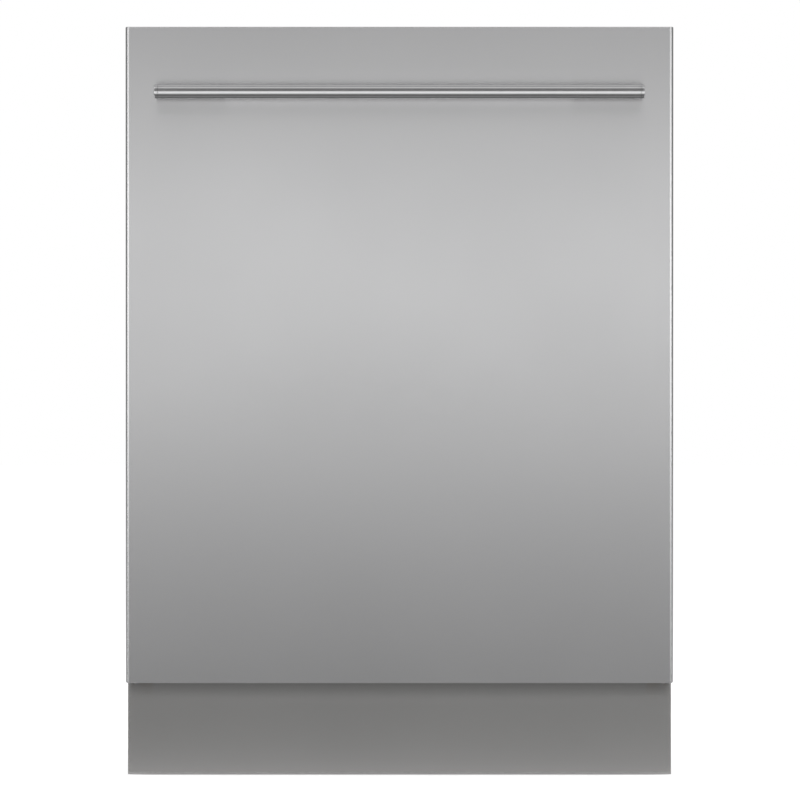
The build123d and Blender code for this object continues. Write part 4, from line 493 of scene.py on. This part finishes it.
def extrude_ring(bm, edges, shift):
    """Extrude a ring of edges by a shift and return the new ring."""
    made = bmesh.ops.extrude_edge_only(bm, edges=edges)["geom"]
    bmesh.ops.translate(bm, verts=[g for g in made if isinstance(g, bmesh.types.BMVert)], vec=shift)
    return [g for g in made if isinstance(g, bmesh.types.BMEdge)]


def turn_ring(bm, edges, centre, axis, angle, steps):
    """Spin a ring of edges round an axis and return the last ring."""
    turned = bmesh.ops.spin(
        bm, geom=edges, cent=centre, axis=axis, dvec=(0, 0, 0), angle=angle, steps=steps, use_duplicate=False
    )
    return [g for g in turned["geom_last"] if isinstance(g, bmesh.types.BMEdge)]


def add_wire(bm, points, radius, bend=0.0, sides=8, closed=False, tip=False):
    """Round wire through the points, with an arc at each corner, and a domed end where tip is true."""
    points = [Vector(p) for p in points]
    if closed:
        start = (points[0] + points[1]) / 2
        points = [start, *points[1:], points[0], start]
    direction = (points[1] - points[0]).normalized()
    turn = direction.to_track_quat("Z", "Y").to_matrix().to_4x4()
    ring = bmesh.ops.create_circle(
        bm, cap_ends=False, radius=radius, segments=sides, matrix=Matrix.Translation(points[0]) @ turn
    )["verts"]
    first = edges = each_once(e for v in ring for e in v.link_edges)
    trim = 0.0
    for i in range(len(points) - 1):
        leg = points[i + 1] - points[i]
        direction = leg.normalized()
        angle = 0.0
        if i < len(points) - 2:
            following = (points[i + 2] - points[i + 1]).normalized()
            angle = direction.angle(following)
        bends = angle > 1e-4
        setback = bend * math.tan(angle / 2) if bends else 0.0
        edges = extrude_ring(bm, edges, direction * (leg.length - trim - setback))
        if bends:
            axis = direction.cross(following).normalized()
            centre = points[i + 1] - direction * setback + axis.cross(direction) * bend
            edges = turn_ring(bm, edges, centre, axis, angle, 5)
        trim = setback
    if closed:
        return
    # A cut end is only slightly domed
    height = radius if tip else radius * 0.3
    close_end(bm, first, (points[0] - points[1]).normalized(), height)
    close_end(bm, edges, (points[-1] - points[-2]).normalized(), height)


def close_end(bm, edges, away, height):
    """Close a ring of edges with a low dome."""
    width = 1.0
    for share in (0.5, 0.87):
        edges = extrude_ring(bm, edges, away * height * 0.5)
        verts = each_once(v for e in edges for v in e.verts)
        centre = sum((v.co for v in verts), Vector()) / len(verts)
        narrower = math.sqrt(1.0 - share * share)
        factor = narrower / width
        bmesh.ops.scale(bm, vec=(factor, factor, factor), space=Matrix.Translation(-centre), verts=verts)
        width = narrower
    bmesh.ops.contextual_create(bm, geom=edges)


def add_lathe(bm, profile, place, axis, steps):
    """Spin a profile of (radius, height) points round an axis through a place."""
    axis = Vector(axis)
    turn = axis.to_track_quat("Z", "Y").to_matrix()
    verts = [bm.verts.new(Vector(place) + turn @ Vector((radius, 0.0, height))) for radius, height in profile]
    geom = verts + [bm.edges.new(pair) for pair in zip(verts, verts[1:])]
    once = {"angle": math.tau, "steps": steps, "use_merge": True, "use_duplicate": False}
    bmesh.ops.spin(bm, geom=geom, cent=place, axis=axis, dvec=(0, 0, 0), **once)


# Operators, one for each piece or group of like pieces


class DishwasherOperator:
    """What the operators share."""

    bl_options = {"REGISTER", "UNDO"}

    @property
    def sizes(self):
        return bpy.context.scene.dishwasher_sizes


class DISHWASHER_OT_finishes(DishwasherOperator, Operator):
    """Make the finishes and put them on the parts that keep their own shape"""

    bl_idname = "dishwasher.finishes"
    bl_label = "Finishes"

    def execute(self, context):
        made = build_finishes(context.scene.dishwasher_finishes)
        for look, material in made.items():
            context.scene[look_key(look)] = material.name
        for name, node in nodes.items():
            material = made[slots[name]]
            if not node.material_slots:
                node.data.materials.append(material)
            for holder in node.material_slots:
                holder.material = material
        return {"FINISHED"}


class DISHWASHER_OT_door_front(DishwasherOperator, Operator):
    """Folded steel skin of the door, with rounded edges"""

    bl_idname = "dishwasher.door_front"
    bl_label = "Door front"

    def execute(self, context):
        low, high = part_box("door_skin")
        sizes = self.sizes
        bm = bmesh.new()
        verts = add_block(bm, low, high)
        round_edges(bm, edges_at(verts, "z", y=low.y), sizes.skin_long_edge, 8)
        level = [e for e in bm.edges if abs(e.verts[0].co.z - e.verts[1].co.z) < NEAR]
        rim = [e for e in level if min(v.co.y for v in e.verts) < high.y - NEAR]
        round_edges(bm, rim, sizes.skin_short_edge, 3)
        self.round_lower_corners(bm, low, high)
        open_shell(bm, [(0, 1, 0)], sizes.skin_wall)
        new_piece("front_skin", bm, "door", "door_skin")
        return {"FINISHED"}

    def round_lower_corners(self, bm, low, high):
        """Pull the two lower corners in to their radius, seen from the front."""
        radius = self.sizes.skin_corner
        for vert in bm.verts:
            out = abs(vert.co.x) - (high.x - radius)
            down = (low.z + radius) - vert.co.z
            if out > 0 and down > 0 and math.hypot(out, down) > radius:
                pull = radius / math.hypot(out, down)
                vert.co.x = math.copysign(high.x - radius + out * pull, vert.co.x)
                vert.co.z = low.z + radius - down * pull


class DISHWASHER_OT_handle(DishwasherOperator, Operator):
    """Bar handle: rounded tube, two end caps and two wide posts"""

    bl_idname = "dishwasher.handle"
    bl_label = "Handle"

    def execute(self, context):
        sizes = self.sizes
        low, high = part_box("handle_bar")
        bm = bmesh.new()
        self.bar_section(bm, low, high)
        open_shell(bm, [(1, 0, 0), (-1, 0, 0)], sizes.bar_wall)
        new_piece("bar_tube", bm, "door", "handle_bar")

        cap_low, cap_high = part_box("handle_end_caps")
        bm = bmesh.new()
        for low_x, high_x in ((cap_low.x, low.x - sizes.cap_seam), (high.x + sizes.cap_seam, cap_high.x)):
            part = bmesh.new()
            self.bar_section(part, Vector((low_x, low.y, low.z)), Vector((high_x, high.y, high.z)))
            outer = faces_facing(part, (1 if high_x > 0 else -1, 0, 0))
            round_edges(part, [e for f in outer for e in f.edges], sizes.cap_edge)
            add_mesh(bm, part)
        new_piece("bar_caps", bm, "door", "handle_end_caps")

        post_low, post_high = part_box("handle_posts")
        inner_x = post_high.x - sizes.post_width
        bm = bmesh.new()
        for low_x, high_x in ((post_low.x, -inner_x), (inner_x, post_high.x)):
            verts = add_block(bm, (low_x, post_low.y, post_low.z), (high_x, post_high.y, post_high.z))
            round_edges(bm, edges_at(verts, "y"), sizes.post_edge)
        # The posts take the near-black finish that paints the shade under the handle's ends
        new_piece("bar_posts", bm, "door", "handle_posts", look="post_painted_shade")
        return {"FINISHED"}

    def bar_section(self, bm, low, high):
        """A length of the bar, rounded along its long edges and slightly crowned in front."""
        crown = self.sizes.bar_crown
        front_y = low.y + crown
        verts = add_block(bm, (low.x, front_y, low.z), high)
        round_edges(bm, edges_at(verts, "x", y=high.y), self.sizes.bar_rear_edge)
        round_edges(bm, edges_at(bm.verts, "x", y=front_y), self.sizes.bar_front_edge - crown, 8)
        upright = [e for f in faces_facing(bm, (0, -1, 0)) for e in f.edges]
        upright = [e for e in upright if abs(e.verts[0].co.x - e.verts[1].co.x) < NEAR]
        half = upright[0].calc_length() / 2
        bmesh.ops.subdivide_edges(bm, edges=upright, cuts=5)
        middle_z = (low.z + high.z) / 2
        for vert in bm.verts:
            if abs(vert.co.y - front_y) < NEAR:
                vert.co.y -= crown * (1.0 - ((vert.co.z - middle_z) / half) ** 2)


class DISHWASHER_OT_plinth(DishwasherOperator, Operator):
    """Folded steel plinth below the door"""

    bl_idname = "dishwasher.plinth"
    bl_label = "Plinth"

    # The folds' half length, which leaves the plinth's ends free
    fold_half = 284.0 * MM

    def execute(self, context):
        low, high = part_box("kick_plate")
        wall = self.sizes.skin_wall
        bm = bmesh.new()
        verts = add_block(bm, low, (high.x, low.y + 5 * wall, high.z))
        round_edges(bm, edges_at(verts, "z", y=low.y), self.sizes.plinth_edge, 5)
        open_shell(bm, [(0, 1, 0)], wall)
        for low_z in (low.z + wall, high.z - 2 * wall):
            corners = (-self.fold_half, low.y + 1.1 * wall, low_z), (self.fold_half, high.y, low_z + wall)
            fold = add_block(bm, *corners)
            round_edges(bm, edges_at(fold, "x", y=high.y), 0.3 * wall, 2)
        # The plinth takes the darkened copy of the front steel that paints the shade under the door
        new_piece("plinth_sheet", bm, "cabinet", "kick_plate", look="plinth_shaded_steel")
        return {"FINISHED"}


class DISHWASHER_OT_door_seal(DishwasherOperator, Operator):
    """Rubber gasket round the tub's mouth, and the lip along its sill"""

    bl_idname = "dishwasher.door_seal"
    bl_label = "Door seal"

    width = 8.0 * MM
    corner_radius = 48.0 * MM
    sill_height = 13.0 * MM
    lip_gap = 0.3 * MM
    # Section of the gasket in millimetres: across its width, and out towards the door
    bulb = (
        (0.2, 0.0), (7.8, 0.0), (7.8, 1.1), (6.9, 1.5), (7.2, 2.6), (6.5, 3.8), (5.3, 4.5),
        (3.9, 4.6), (2.6, 4.2), (1.6, 3.2), (1.3, 2.1), (1.6, 1.4), (0.2, 1.0),
    )
    # Section of the sill's lip in millimetres: out towards the door, and up
    lip = ((0.0, 0.0), (0.0, -12.6), (-1.2, -12.6), (-1.5, -3.6), (-4.4, -1.2), (-4.7, -0.2), (-3.6, -0.1))

    def execute(self, context):
        low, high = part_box("door_seal")
        bend = self.corner_radius
        sill_z = low.z + self.sill_height
        rise = high.z - bend - sill_z
        span = high.x - low.x
        bm = bmesh.new()
        start = add_outline(
            bm, [(low.x + self.width - across * MM, high.y - out * MM, sill_z) for across, out in self.bulb]
        )
        edges = extrude_ring(bm, start, Vector((0, 0, rise)))
        edges = self.corner(bm, edges, low.x + bend, high.z - bend)
        edges = extrude_ring(bm, edges, Vector((span - 2 * bend, 0, 0)))
        edges = self.corner(bm, edges, high.x - bend, high.z - bend)
        edges = extrude_ring(bm, edges, Vector((0, 0, -rise)))
        lip_z = sill_z - self.lip_gap
        near = add_outline(bm, [(low.x, high.y + out * MM, lip_z + up * MM) for out, up in self.lip])
        far = extrude_ring(bm, near, Vector((span, 0, 0)))
        for ring in (start, edges, near, far):
            bmesh.ops.contextual_create(bm, geom=ring)
        new_piece("mouth_gasket", bm, "cabinet", "door_seal", sharp=40.0)
        return {"FINISHED"}

    def corner(self, bm, edges, x, z):
        """Turn the gasket's section a quarter round a corner's centre, clockwise seen from the front."""
        return turn_ring(bm, edges, (x, 0, z), (0, 1, 0), math.pi / 2, 10)


class DISHWASHER_OT_insulation(DishwasherOperator, Operator):
    """Felt blanket over the tub and the pad behind it"""

    bl_idname = "dishwasher.insulation"
    bl_label = "Insulation"

    blanket_corner = 48.0 * MM
    pad_half = 278.0 * MM
    pad_top = 790.0 * MM
    pad_corner = 38.0 * MM
    pad_edge = 3.0 * MM
    # Room between the blanket's rear edge and the pad, and behind the pad
    pad_gap = 1.3 * MM
    pad_rear_gap = 0.2 * MM
    # Edges longer than this are divided, so that the felt can be uneven between them
    long_edge = 60.0 * MM

    def execute(self, context):
        low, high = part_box("insulation_wrap")
        rear_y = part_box("tub_rear_wall")[0].y
        bm = bmesh.new()
        verts = add_block(bm, low, (high.x, rear_y, high.z))
        round_edges(bm, edges_at(verts, "y", z=high.z), self.blanket_corner, 10)
        open_shell(bm, [(0, -1, 0), (0, 1, 0), (0, 0, -1)], self.sizes.felt_thickness)
        self.soften(bm, 0.4 * MM)
        blanket = new_piece("felt_blanket", bm, "cabinet", "insulation_wrap", sharp=60.0)

        bm = bmesh.new()
        pad_low = (-self.pad_half, rear_y + self.pad_gap, low.z)
        verts = add_block(bm, pad_low, (self.pad_half, high.y - self.pad_rear_gap, self.pad_top))
        round_edges(bm, edges_at(verts, "y", z=self.pad_top), self.pad_corner, 8)
        square = [e for e in bm.edges if len(e.link_faces) == 2 and e.calc_face_angle() > math.radians(70)]
        round_edges(bm, square, self.pad_edge, 3)
        self.soften(bm, 0.6 * MM)
        pad = new_piece("felt_pad", bm, "cabinet", "insulation_wrap", sharp=60.0)
        return {"FINISHED"}

    def soften(self, bm, depth):
        """Divide the felt's large faces and let them sink a little in a soft uneven pattern."""
        bmesh.ops.recalc_face_normals(bm, faces=bm.faces[:])
        long_edges = [e for e in bm.edges if e.calc_length() > self.long_edge]
        bmesh.ops.subdivide_edges(bm, edges=long_edges, cuts=11, use_grid_fill=True)
        bm.normal_update()
        for vert in bm.verts:
            x, y, z = vert.co
            wave = math.sin(31.0 * x + 17.0 * z) * math.sin(23.0 * y - 19.0 * z + 1.3)
            vert.co -= vert.normal * depth * (0.5 + 0.5 * wave)


class DISHWASHER_OT_racks(DishwasherOperator, Operator):
    """Coated wire racks with bent wires, rims and tines, and the folding row"""

    bl_idname = "dishwasher.racks"
    bl_label = "Racks"

    # In metres: the racks' half width, front and rear, and the number of spaces between the floor wires
    half = 0.250
    front_y, rear_y = -0.185, 0.250
    spaces_deep, spaces_wide = 13, 12
    # Height of a rack's floor, and of the hoops at its sides and across its front
    upper = (0.520, (0.550, 0.600, 0.650), (0.550, 0.600, 0.650))
    lower = (0.190, (0.218, 0.260, 0.330), (0.218, 0.243, 0.296))
    # Where the lower rack's hoops leave the front and where they reach the sides' height
    dip_start, dip_end = 0.022, 0.055
    # Rows of tines: their places from front to rear, then each row's two ends and the tines' height
    upper_rows, upper_tines = (-0.0375, 0.1325), (-0.225, 0.225, 0.045)
    lower_rows, lower_tines = (-0.140, -0.050, 0.130, 0.220), (-0.232, 0.154, 0.072)
    folding_y = 0.040
    tine_pitch = 0.032
    # Wires that cross are welded, so they lie this many radii apart
    welded = 1.6
    # Wheel brackets: their inner and outer side, half depth, foot below the axle and top
    bracket_x = (0.246, 0.252)
    bracket_half, bracket_foot, bracket_top = 0.009, 0.0045, 0.1877
    axle_x = 0.251
    # Radius and length along the axle
    axle = (
        (0.0, 0.0), (0.004, 0.0), (0.004, 0.0123), (0.006, 0.0123), (0.006, 0.0138), (0.0055, 0.0143), (0.0, 0.0143)
    )

    def execute(self, context):
        bm = bmesh.new()
        self.wire_box(bm, *self.upper)
        for y in self.upper_rows:
            self.tine_row(bm, y, self.upper[0], *self.upper_tines)
        new_piece("upper_rack_wires", bm, "upper_rack", "upper_rack", sharp=50.0)

        bm = bmesh.new()
        self.wire_box(bm, *self.lower)
        for y in self.lower_rows:
            self.tine_row(bm, y, self.lower[0], *self.lower_tines)
        self.axles(bm)
        new_piece("lower_rack_wires", bm, "lower_rack", "lower_rack", sharp=50.0)

        bm = bmesh.new()
        self.tine_row(bm, self.folding_y, self.lower[0], *self.lower_tines)
        new_piece("folding_row", bm, "folding_tines", "folding_tines", sharp=50.0)
        return {"FINISHED"}

    def wire_box(self, bm, floor_z, side_heights, front_heights):
        """Floor wires that turn up at their ends, and hoops inside them at the given heights."""
        sizes = self.sizes
        radius, bend, sides = sizes.wire_radius, sizes.wire_bend, sizes.wire_sides
        step = self.welded * radius
        half, front_y, rear_y = self.half, self.front_y, self.rear_y
        side_top = side_heights[-1] + radius
        front_top = front_heights[-1] + radius
        for i in range(self.spaces_deep + 1):
            y = front_y + (rear_y - front_y) * i / self.spaces_deep
            ends = [(-half, y, floor_z), (half, y, floor_z)]
            if 0 < i < self.spaces_deep:
                ends = [(-half, y, side_top), *ends, (half, y, side_top)]
            add_wire(bm, ends, radius, bend, sides)
        for i in range(self.spaces_wide + 1):
            x = -half + 2 * half * i / self.spaces_wide
            ends = [(x, front_y, floor_z + step), (x, rear_y, floor_z + step)]
            if 0 < i < self.spaces_wide:
                ends = [(x, front_y, front_top), *ends, (x, rear_y, side_top)]
            add_wire(bm, ends, radius, bend, sides)
        inner = half - step
        low_y, high_y = front_y + step, rear_y - step
        for side_z, front_z in zip(side_heights, front_heights):
            rear = [(inner, high_y, side_z), (-inner, high_y, side_z)]
            hoop = [(-inner, low_y, front_z), (inner, low_y, front_z), *rear]
            bend = sizes.rim_bend
            if side_z != front_z:
                dip_y, rise_y = low_y + self.dip_start, low_y + self.dip_end
                hoop[2:] = [(inner, dip_y, front_z), (inner, rise_y, side_z), *rear]
                hoop += [(-inner, rise_y, side_z), (-inner, dip_y, front_z)]
                bend = sizes.dip_bend
            add_wire(bm, hoop, radius, bend, sides, closed=True)

    def tine_row(self, bm, y, floor_z, low_x, high_x, height):
        """A base wire on the rack's floor with domed upright tines."""
        sizes = self.sizes
        radius, sides = sizes.tine_radius, sizes.wire_sides
        base_z = floor_z + (self.welded + 1.0) * sizes.wire_radius + radius + 0.2 * MM
        add_wire(bm, [(low_x, y, base_z), (high_x, y, base_z)], radius, sides=sides)
        for i in range(int((high_x - low_x) / self.tine_pitch)):
            x = low_x + self.tine_pitch * (i + 0.5)
            add_wire(bm, [(x, y, base_z), (x, y, base_z + height)], radius, sides=sides, tip=True)

    def axles(self, bm):
        """Brackets under the rack's corners, with the stub axle of each wheel."""
        for wheels in ("front_wheels", "rear_wheels"):
            low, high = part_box(wheels)
            y, z = (low.y + high.y) / 2, (low.z + high.z) / 2
            foot_z = z - self.bracket_foot
            for side in (-1, 1):
                low_x, high_x = sorted(side * x for x in self.bracket_x)
                corners = (low_x, y - self.bracket_half, foot_z), (high_x, y + self.bracket_half, self.bracket_top)
                round_edges(bm, edges_at(add_block(bm, *corners), "x", z=foot_z), 4.0 * MM)
                add_lathe(bm, self.axle, (side * self.axle_x, y, z), (side, 0, 0), 20)


class DISHWASHER_OT_feet(DishwasherOperator, Operator):
    """Levelling feet: grooved pad, hexagon and threaded stem"""

    bl_idname = "dishwasher.feet"
    bl_label = "Levelling feet"

    # In metres: the pad, its grooves' depth and places, and the hexagon on it
    pad_radius, groove_radius = 0.020, 0.0192
    grooves = (0.0018, 0.0034, 0.0050)
    hexagon_radius, hexagon_foot, hexagon_height = 0.009, 0.0079, 0.0101
    # The stem, the root between its ridges, and the ridges' first place and distance
    stem_radius, root_radius = 0.005, 0.0044
    first_ridge, ridge_pitch = 0.020, 0.002

    def execute(self, context):
        for name in ("front_left_foot", "rear_left_foot", "front_right_foot", "rear_right_foot"):
            low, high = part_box(name)
            x, y = (low.x + high.x) / 2, (low.y + high.y) / 2
            bm = bmesh.new()
            self.pad_and_stem(bm, x, y, high.z)
            self.hexagon(bm, x, y)
            new_piece(name + "_dressed", bm, name, name, sharp=30.0)
        return {"FINISHED"}

    def hexagon(self, bm, x, y):
        """Hexagon for a spanner, with its upper rim rounded."""
        place = Matrix.Translation((x, y, self.hexagon_foot))
        shape = {"cap_ends": True, "radius": self.hexagon_radius, "segments": 6, "matrix": place}
        ring = bmesh.ops.create_circle(bm, **shape)["verts"]
        faces = each_once(f for v in ring for f in v.link_faces)
        made = bmesh.ops.extrude_face_region(bm, geom=faces)["geom"]
        top = [g for g in made if isinstance(g, bmesh.types.BMVert)]
        bmesh.ops.translate(bm, verts=top, vec=(0, 0, self.hexagon_height))
        top_z = self.hexagon_foot + self.hexagon_height
        rim = [e for e in bm.edges if len(e.link_faces) == 2 and all(abs(v.co.z - top_z) < NEAR for v in e.verts)]
        round_edges(bm, rim, 0.5 * MM, 2)

    def pad_and_stem(self, bm, x, y, top_z):
        """Lathe the pad with its grooved rim, and the stem with its thread ridges."""
        pad, groove, stem, root = self.pad_radius, self.groove_radius, self.stem_radius, self.root_radius
        profile = [(0.0, 0.0), (0.0175, 0.0), (groove, 0.0008), (pad, 0.0012)]
        for z in self.grooves:
            profile += [(pad, z), (groove, z + 0.0004), (groove, z + 0.0008), (pad, z + 0.0012)]
        profile += [(pad, 0.0066), (0.0195, 0.0076), (0.0185, 0.008), (stem, 0.008)]
        z = self.first_ridge
        while z < top_z - 0.003:
            profile += [(root, z), (stem, z + 0.0006), (stem, z + 0.0010), (root, z + 0.0016)]
            z += self.ridge_pitch
        profile += [(root, top_z - 0.001), (0.0036, top_z), (0.0, top_z)]
        add_lathe(bm, profile, (x, y, 0.0), (0, 0, 1), 24)


class DISHWASHER_OT_studio(DishwasherOperator, Operator):
    """Pale floor, white surroundings, soft lamps, the glowing room that paints the steel's reflections, and the
    camera
    """

    bl_idname = "dishwasher.studio"
    bl_label = "Studio"

    camera_place = (0.0006, -6.665, 0.4128)
    # Name, place, side in metres and power in watts, and what all lamps are aimed at
    lamps = (
        ("top_lamp", (0.0, -0.6, 3.2), 3.2, 60.0),
        ("left_lamp", (-3.2, -2.4, 1.8), 2.0, 40.0),
        ("right_lamp", (3.2, -2.4, 1.8), 2.0, 40.0),
    )
    lamp_target = (0.0, 0.0, 0.4)
    # Light that the surroundings give, of 1.0 that is seen, and glow of the floor where the camera sees it
    world_light, floor_glow = 0.55, 0.6
    # The reflected room: half its width, its front wall, rear wall, top and foot, and where its sides change
    room_half, card_front, room_rear, room_top, room_foot = 4.0, -2.0, 4.0, 7.0, 0.003
    rear_from = -0.4
    # Metres from the front wall's foot, negative along the floor and positive upwards, and how brightly it glows
    # there: painted reflection for the steel, with bright bands in place of softboxes
    card_glow_levels = (
        (-1.79, 0.55), (-1.55, 0.36), (-1.2, 0.08), (-0.8, 0.42), (-0.4, 0.28), (-0.15, 0.08), (0.0, 0.06),
        (0.12, 0.22), (0.25, 0.42), (0.38, 0.75), (0.5, 1.30), (0.62, 1.92), (0.75, 1.23), (0.9, 0.05), (1.1, 0.18),
        (1.4, 0.75), (1.8, 1.15), (2.4, 0.78), (3.4, 0.30), (4.8, 0.50), (7.0, 1.40),
    )
    # How much brighter the front wall gets from its middle to its sides, and how far out that happens
    card_sides = (1.0, 1.9)
    card_side_from, card_side_to = 0.6, 0.8
    # Metres up the walls beside the object and behind it, and how brightly they glow there: painted reflection
    side_glow_levels = ((0.0, 0.10), (0.5, 0.12), (1.5, 0.20), (7.0, 0.70))
    rear_glow_levels = ((0.0, 0.30), (2.0, 0.35), (7.0, 0.70))

    def execute(self, context):
        self.white_world(context)
        self.pale_floor(context)
        self.reflected_room()
        for name, place, side, power in self.lamps:
            self.lamp(name, place, side, power)
        self.camera(context)
        context.scene.view_settings.view_transform = "Standard"
        return {"FINISHED"}

    def camera(self, context):
        """A camera straight in front and far away."""
        data = bpy.data.cameras.new("front_camera")
        data.sensor_width = 36.0
        data.lens = 264.0
        data.clip_end = 100.0
        camera = bpy.data.objects.new("front_camera", data)
        camera.location = self.camera_place
        camera.rotation_euler = (math.pi / 2, 0.0, 0.0)
        context.scene.collection.objects.link(camera)
        context.scene.camera = camera

    def lamp(self, name, place, side, power):
        """A soft square lamp aimed at the object."""
        data = bpy.data.lights.new(name, "AREA")
        data.shape = "RECTANGLE"
        data.size = data.size_y = side
        data.energy = power
        lamp = bpy.data.objects.new(name, data)
        lamp.location = place
        lamp.rotation_euler = (Vector(self.lamp_target) - Vector(place)).to_track_quat("-Z", "Y").to_euler()
        lamp.visible_camera = False
        lamp.visible_glossy = False
        bpy.context.scene.collection.objects.link(lamp)

    def white_world(self, context):
        """White where the camera, steel or glass sees it, and an even grey as a light."""
        world = bpy.data.worlds.new("studio_world")
        world.use_nodes = True
        context.scene.world = world
        tree = world.node_tree
        shine = tree.nodes["Background"]
        shine.inputs["Color"].default_value = (1.0, 1.0, 1.0, 1.0)
        ray = add_node(tree, "LightPath").outputs
        seen = add_math(tree, "MAXIMUM", ray["Is Camera Ray"], ray["Is Glossy Ray"])
        seen = add_math(tree, "MAXIMUM", seen, ray["Is Transmission Ray"])
        tree.links.new(remap(tree, seen, self.world_light, 1.0), shine.inputs["Strength"])

    def pale_floor(self, context):
        """A wide pale floor that keeps the shadow."""
        bm = bmesh.new()
        bmesh.ops.create_grid(bm, x_segments=1, y_segments=1, size=30.0)
        floor = mesh_object("studio_floor", bm)
        colour = context.scene.dishwasher_finishes.studio
        material = finish("Studio floor", colour, 0.0, 0.9, Specular_IOR_Level=0.0, Emission_Color=(1, 1, 1, 1))
        tree = material.node_tree
        glow = add_math(tree, "MULTIPLY", add_node(tree, "LightPath").outputs["Is Camera Ray"], self.floor_glow)
        tree.links.new(glow, tree.nodes["Principled BSDF"].inputs["Emission Strength"])
        floor.data.materials.append(material)

    def reflected_room(self):
        """A glowing room round the object, and a floor strip in front of it, that only reflections show: painted
        reflection, no lamp.
        """
        half, front_y = self.room_half, self.card_front
        plinth_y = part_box("kick_plate")[0].y - 2.5 * MM
        bm = bmesh.new()
        add_block(bm, (-half, front_y, self.room_foot), (half, self.room_rear, self.room_top))
        bmesh.ops.delete(bm, geom=faces_facing(bm, (0, 0, -1)), context="FACES_ONLY")
        everything = bm.verts[:] + bm.edges[:] + bm.faces[:]
        bmesh.ops.bisect_plane(bm, geom=everything, plane_co=(0, self.rear_from, 0), plane_no=(0, 1, 0))
        for face in bm.faces:
            y = face.calc_center_median().y
            face.material_index = 0 if y < front_y + 0.01 else 1 if y < self.rear_from else 2
        foot = [e for e in bm.edges if all(v.co.z < 0.01 and v.co.y < front_y + 0.01 for v in e.verts)]
        extrude_ring(bm, foot, Vector((0.0, plinth_y - front_y, 0.0)))
        card = mesh_object("reflection_card", bm)
        for material in (
            self.glow("Reflection card", self.card_glow_levels, self.card_sides, folded=True),
            self.glow("Reflection side walls", self.side_glow_levels),
            self.glow("Reflection rear walls", self.rear_glow_levels),
        ):
            card.data.materials.append(material)
        card.visible_camera = False
        card.visible_diffuse = False
        card.visible_transmission = False
        card.visible_shadow = False

    def glow(self, name, glow_levels, sides=(1.0, 1.0), folded=False):
        """Glow that follows the levels up a wall, and first along the floor to its foot where it is folded; it paints
        the reflections.
        """
        material = bpy.data.materials.new(name)
        material.use_nodes = True
        tree = material.node_tree
        tree.nodes.remove(tree.nodes["Principled BSDF"])
        place = add_node(tree, "SeparateXYZ", Vector=object_place(tree)).outputs
        along = place["Z"]
        if folded:
            along = add_math(tree, "SUBTRACT", along, add_math(tree, "SUBTRACT", place["Y"], self.card_front))
        start, end = glow_levels[0][0], glow_levels[-1][0]
        ramp = add_node(tree, "ValToRGB", Fac=remap(tree, along, 0.0, 1.0, start, end))
        points = ramp.color_ramp.elements
        while len(points) < len(glow_levels):
            points.new(0.5)
        for point, (metres, grey) in zip(points, glow_levels):
            point.position = (metres - start) / (end - start)
            point.color = (grey, grey, grey, 1.0)
        out = add_math(tree, "ABSOLUTE", place["X"])
        strength = remap(tree, out, *sides, self.card_side_from, self.card_side_to)
        light = add_node(tree, "Emission", Color=ramp.outputs["Color"], Strength=strength)
        tree.links.new(light.outputs["Emission"], tree.nodes["Material Output"].inputs["Surface"])
        return material


class DISHWASHER_PT_panel(Panel):
    """The dishwasher's operators and settings"""

    bl_idname = "DISHWASHER_PT_panel"
    bl_label = "Dishwasher"
    bl_space_type = "VIEW_3D"
    bl_region_type = "UI"
    bl_category = "Dishwasher"

    def draw(self, context):
        for operator in OPERATORS:
            self.layout.operator(operator.bl_idname)
        for settings in (context.scene.dishwasher_sizes, context.scene.dishwasher_finishes):
            box = self.layout.box()
            for name in settings.__annotations__:
                box.prop(settings, name)


OPERATORS = (
    DISHWASHER_OT_finishes,
    DISHWASHER_OT_door_front,
    DISHWASHER_OT_handle,
    DISHWASHER_OT_plinth,
    DISHWASHER_OT_door_seal,
    DISHWASHER_OT_insulation,
    DISHWASHER_OT_racks,
    DISHWASHER_OT_feet,
    DISHWASHER_OT_studio,
)
CLASSES = (DishwasherSizes, DishwasherFinishes, *OPERATORS, DISHWASHER_PT_panel)


def register():
    for item in CLASSES:
        bpy.utils.register_class(item)
    bpy.types.Scene.dishwasher_sizes = PointerProperty(type=DishwasherSizes)
    bpy.types.Scene.dishwasher_finishes = PointerProperty(type=DishwasherFinishes)


def unregister():
    del bpy.types.Scene.dishwasher_finishes
    del bpy.types.Scene.dishwasher_sizes
    for item in reversed(CLASSES):
        bpy.utils.unregister_class(item)


def main():
    """Build every piece in order."""
    register()
    bpy.ops.dishwasher.finishes()
    bpy.ops.dishwasher.door_front()
    bpy.ops.dishwasher.handle()
    bpy.ops.dishwasher.plinth()
    bpy.ops.dishwasher.door_seal()
    bpy.ops.dishwasher.insulation()
    bpy.ops.dishwasher.racks()
    bpy.ops.dishwasher.feet()
    bpy.ops.dishwasher.studio()


if __name__ == "__main__":
    main()
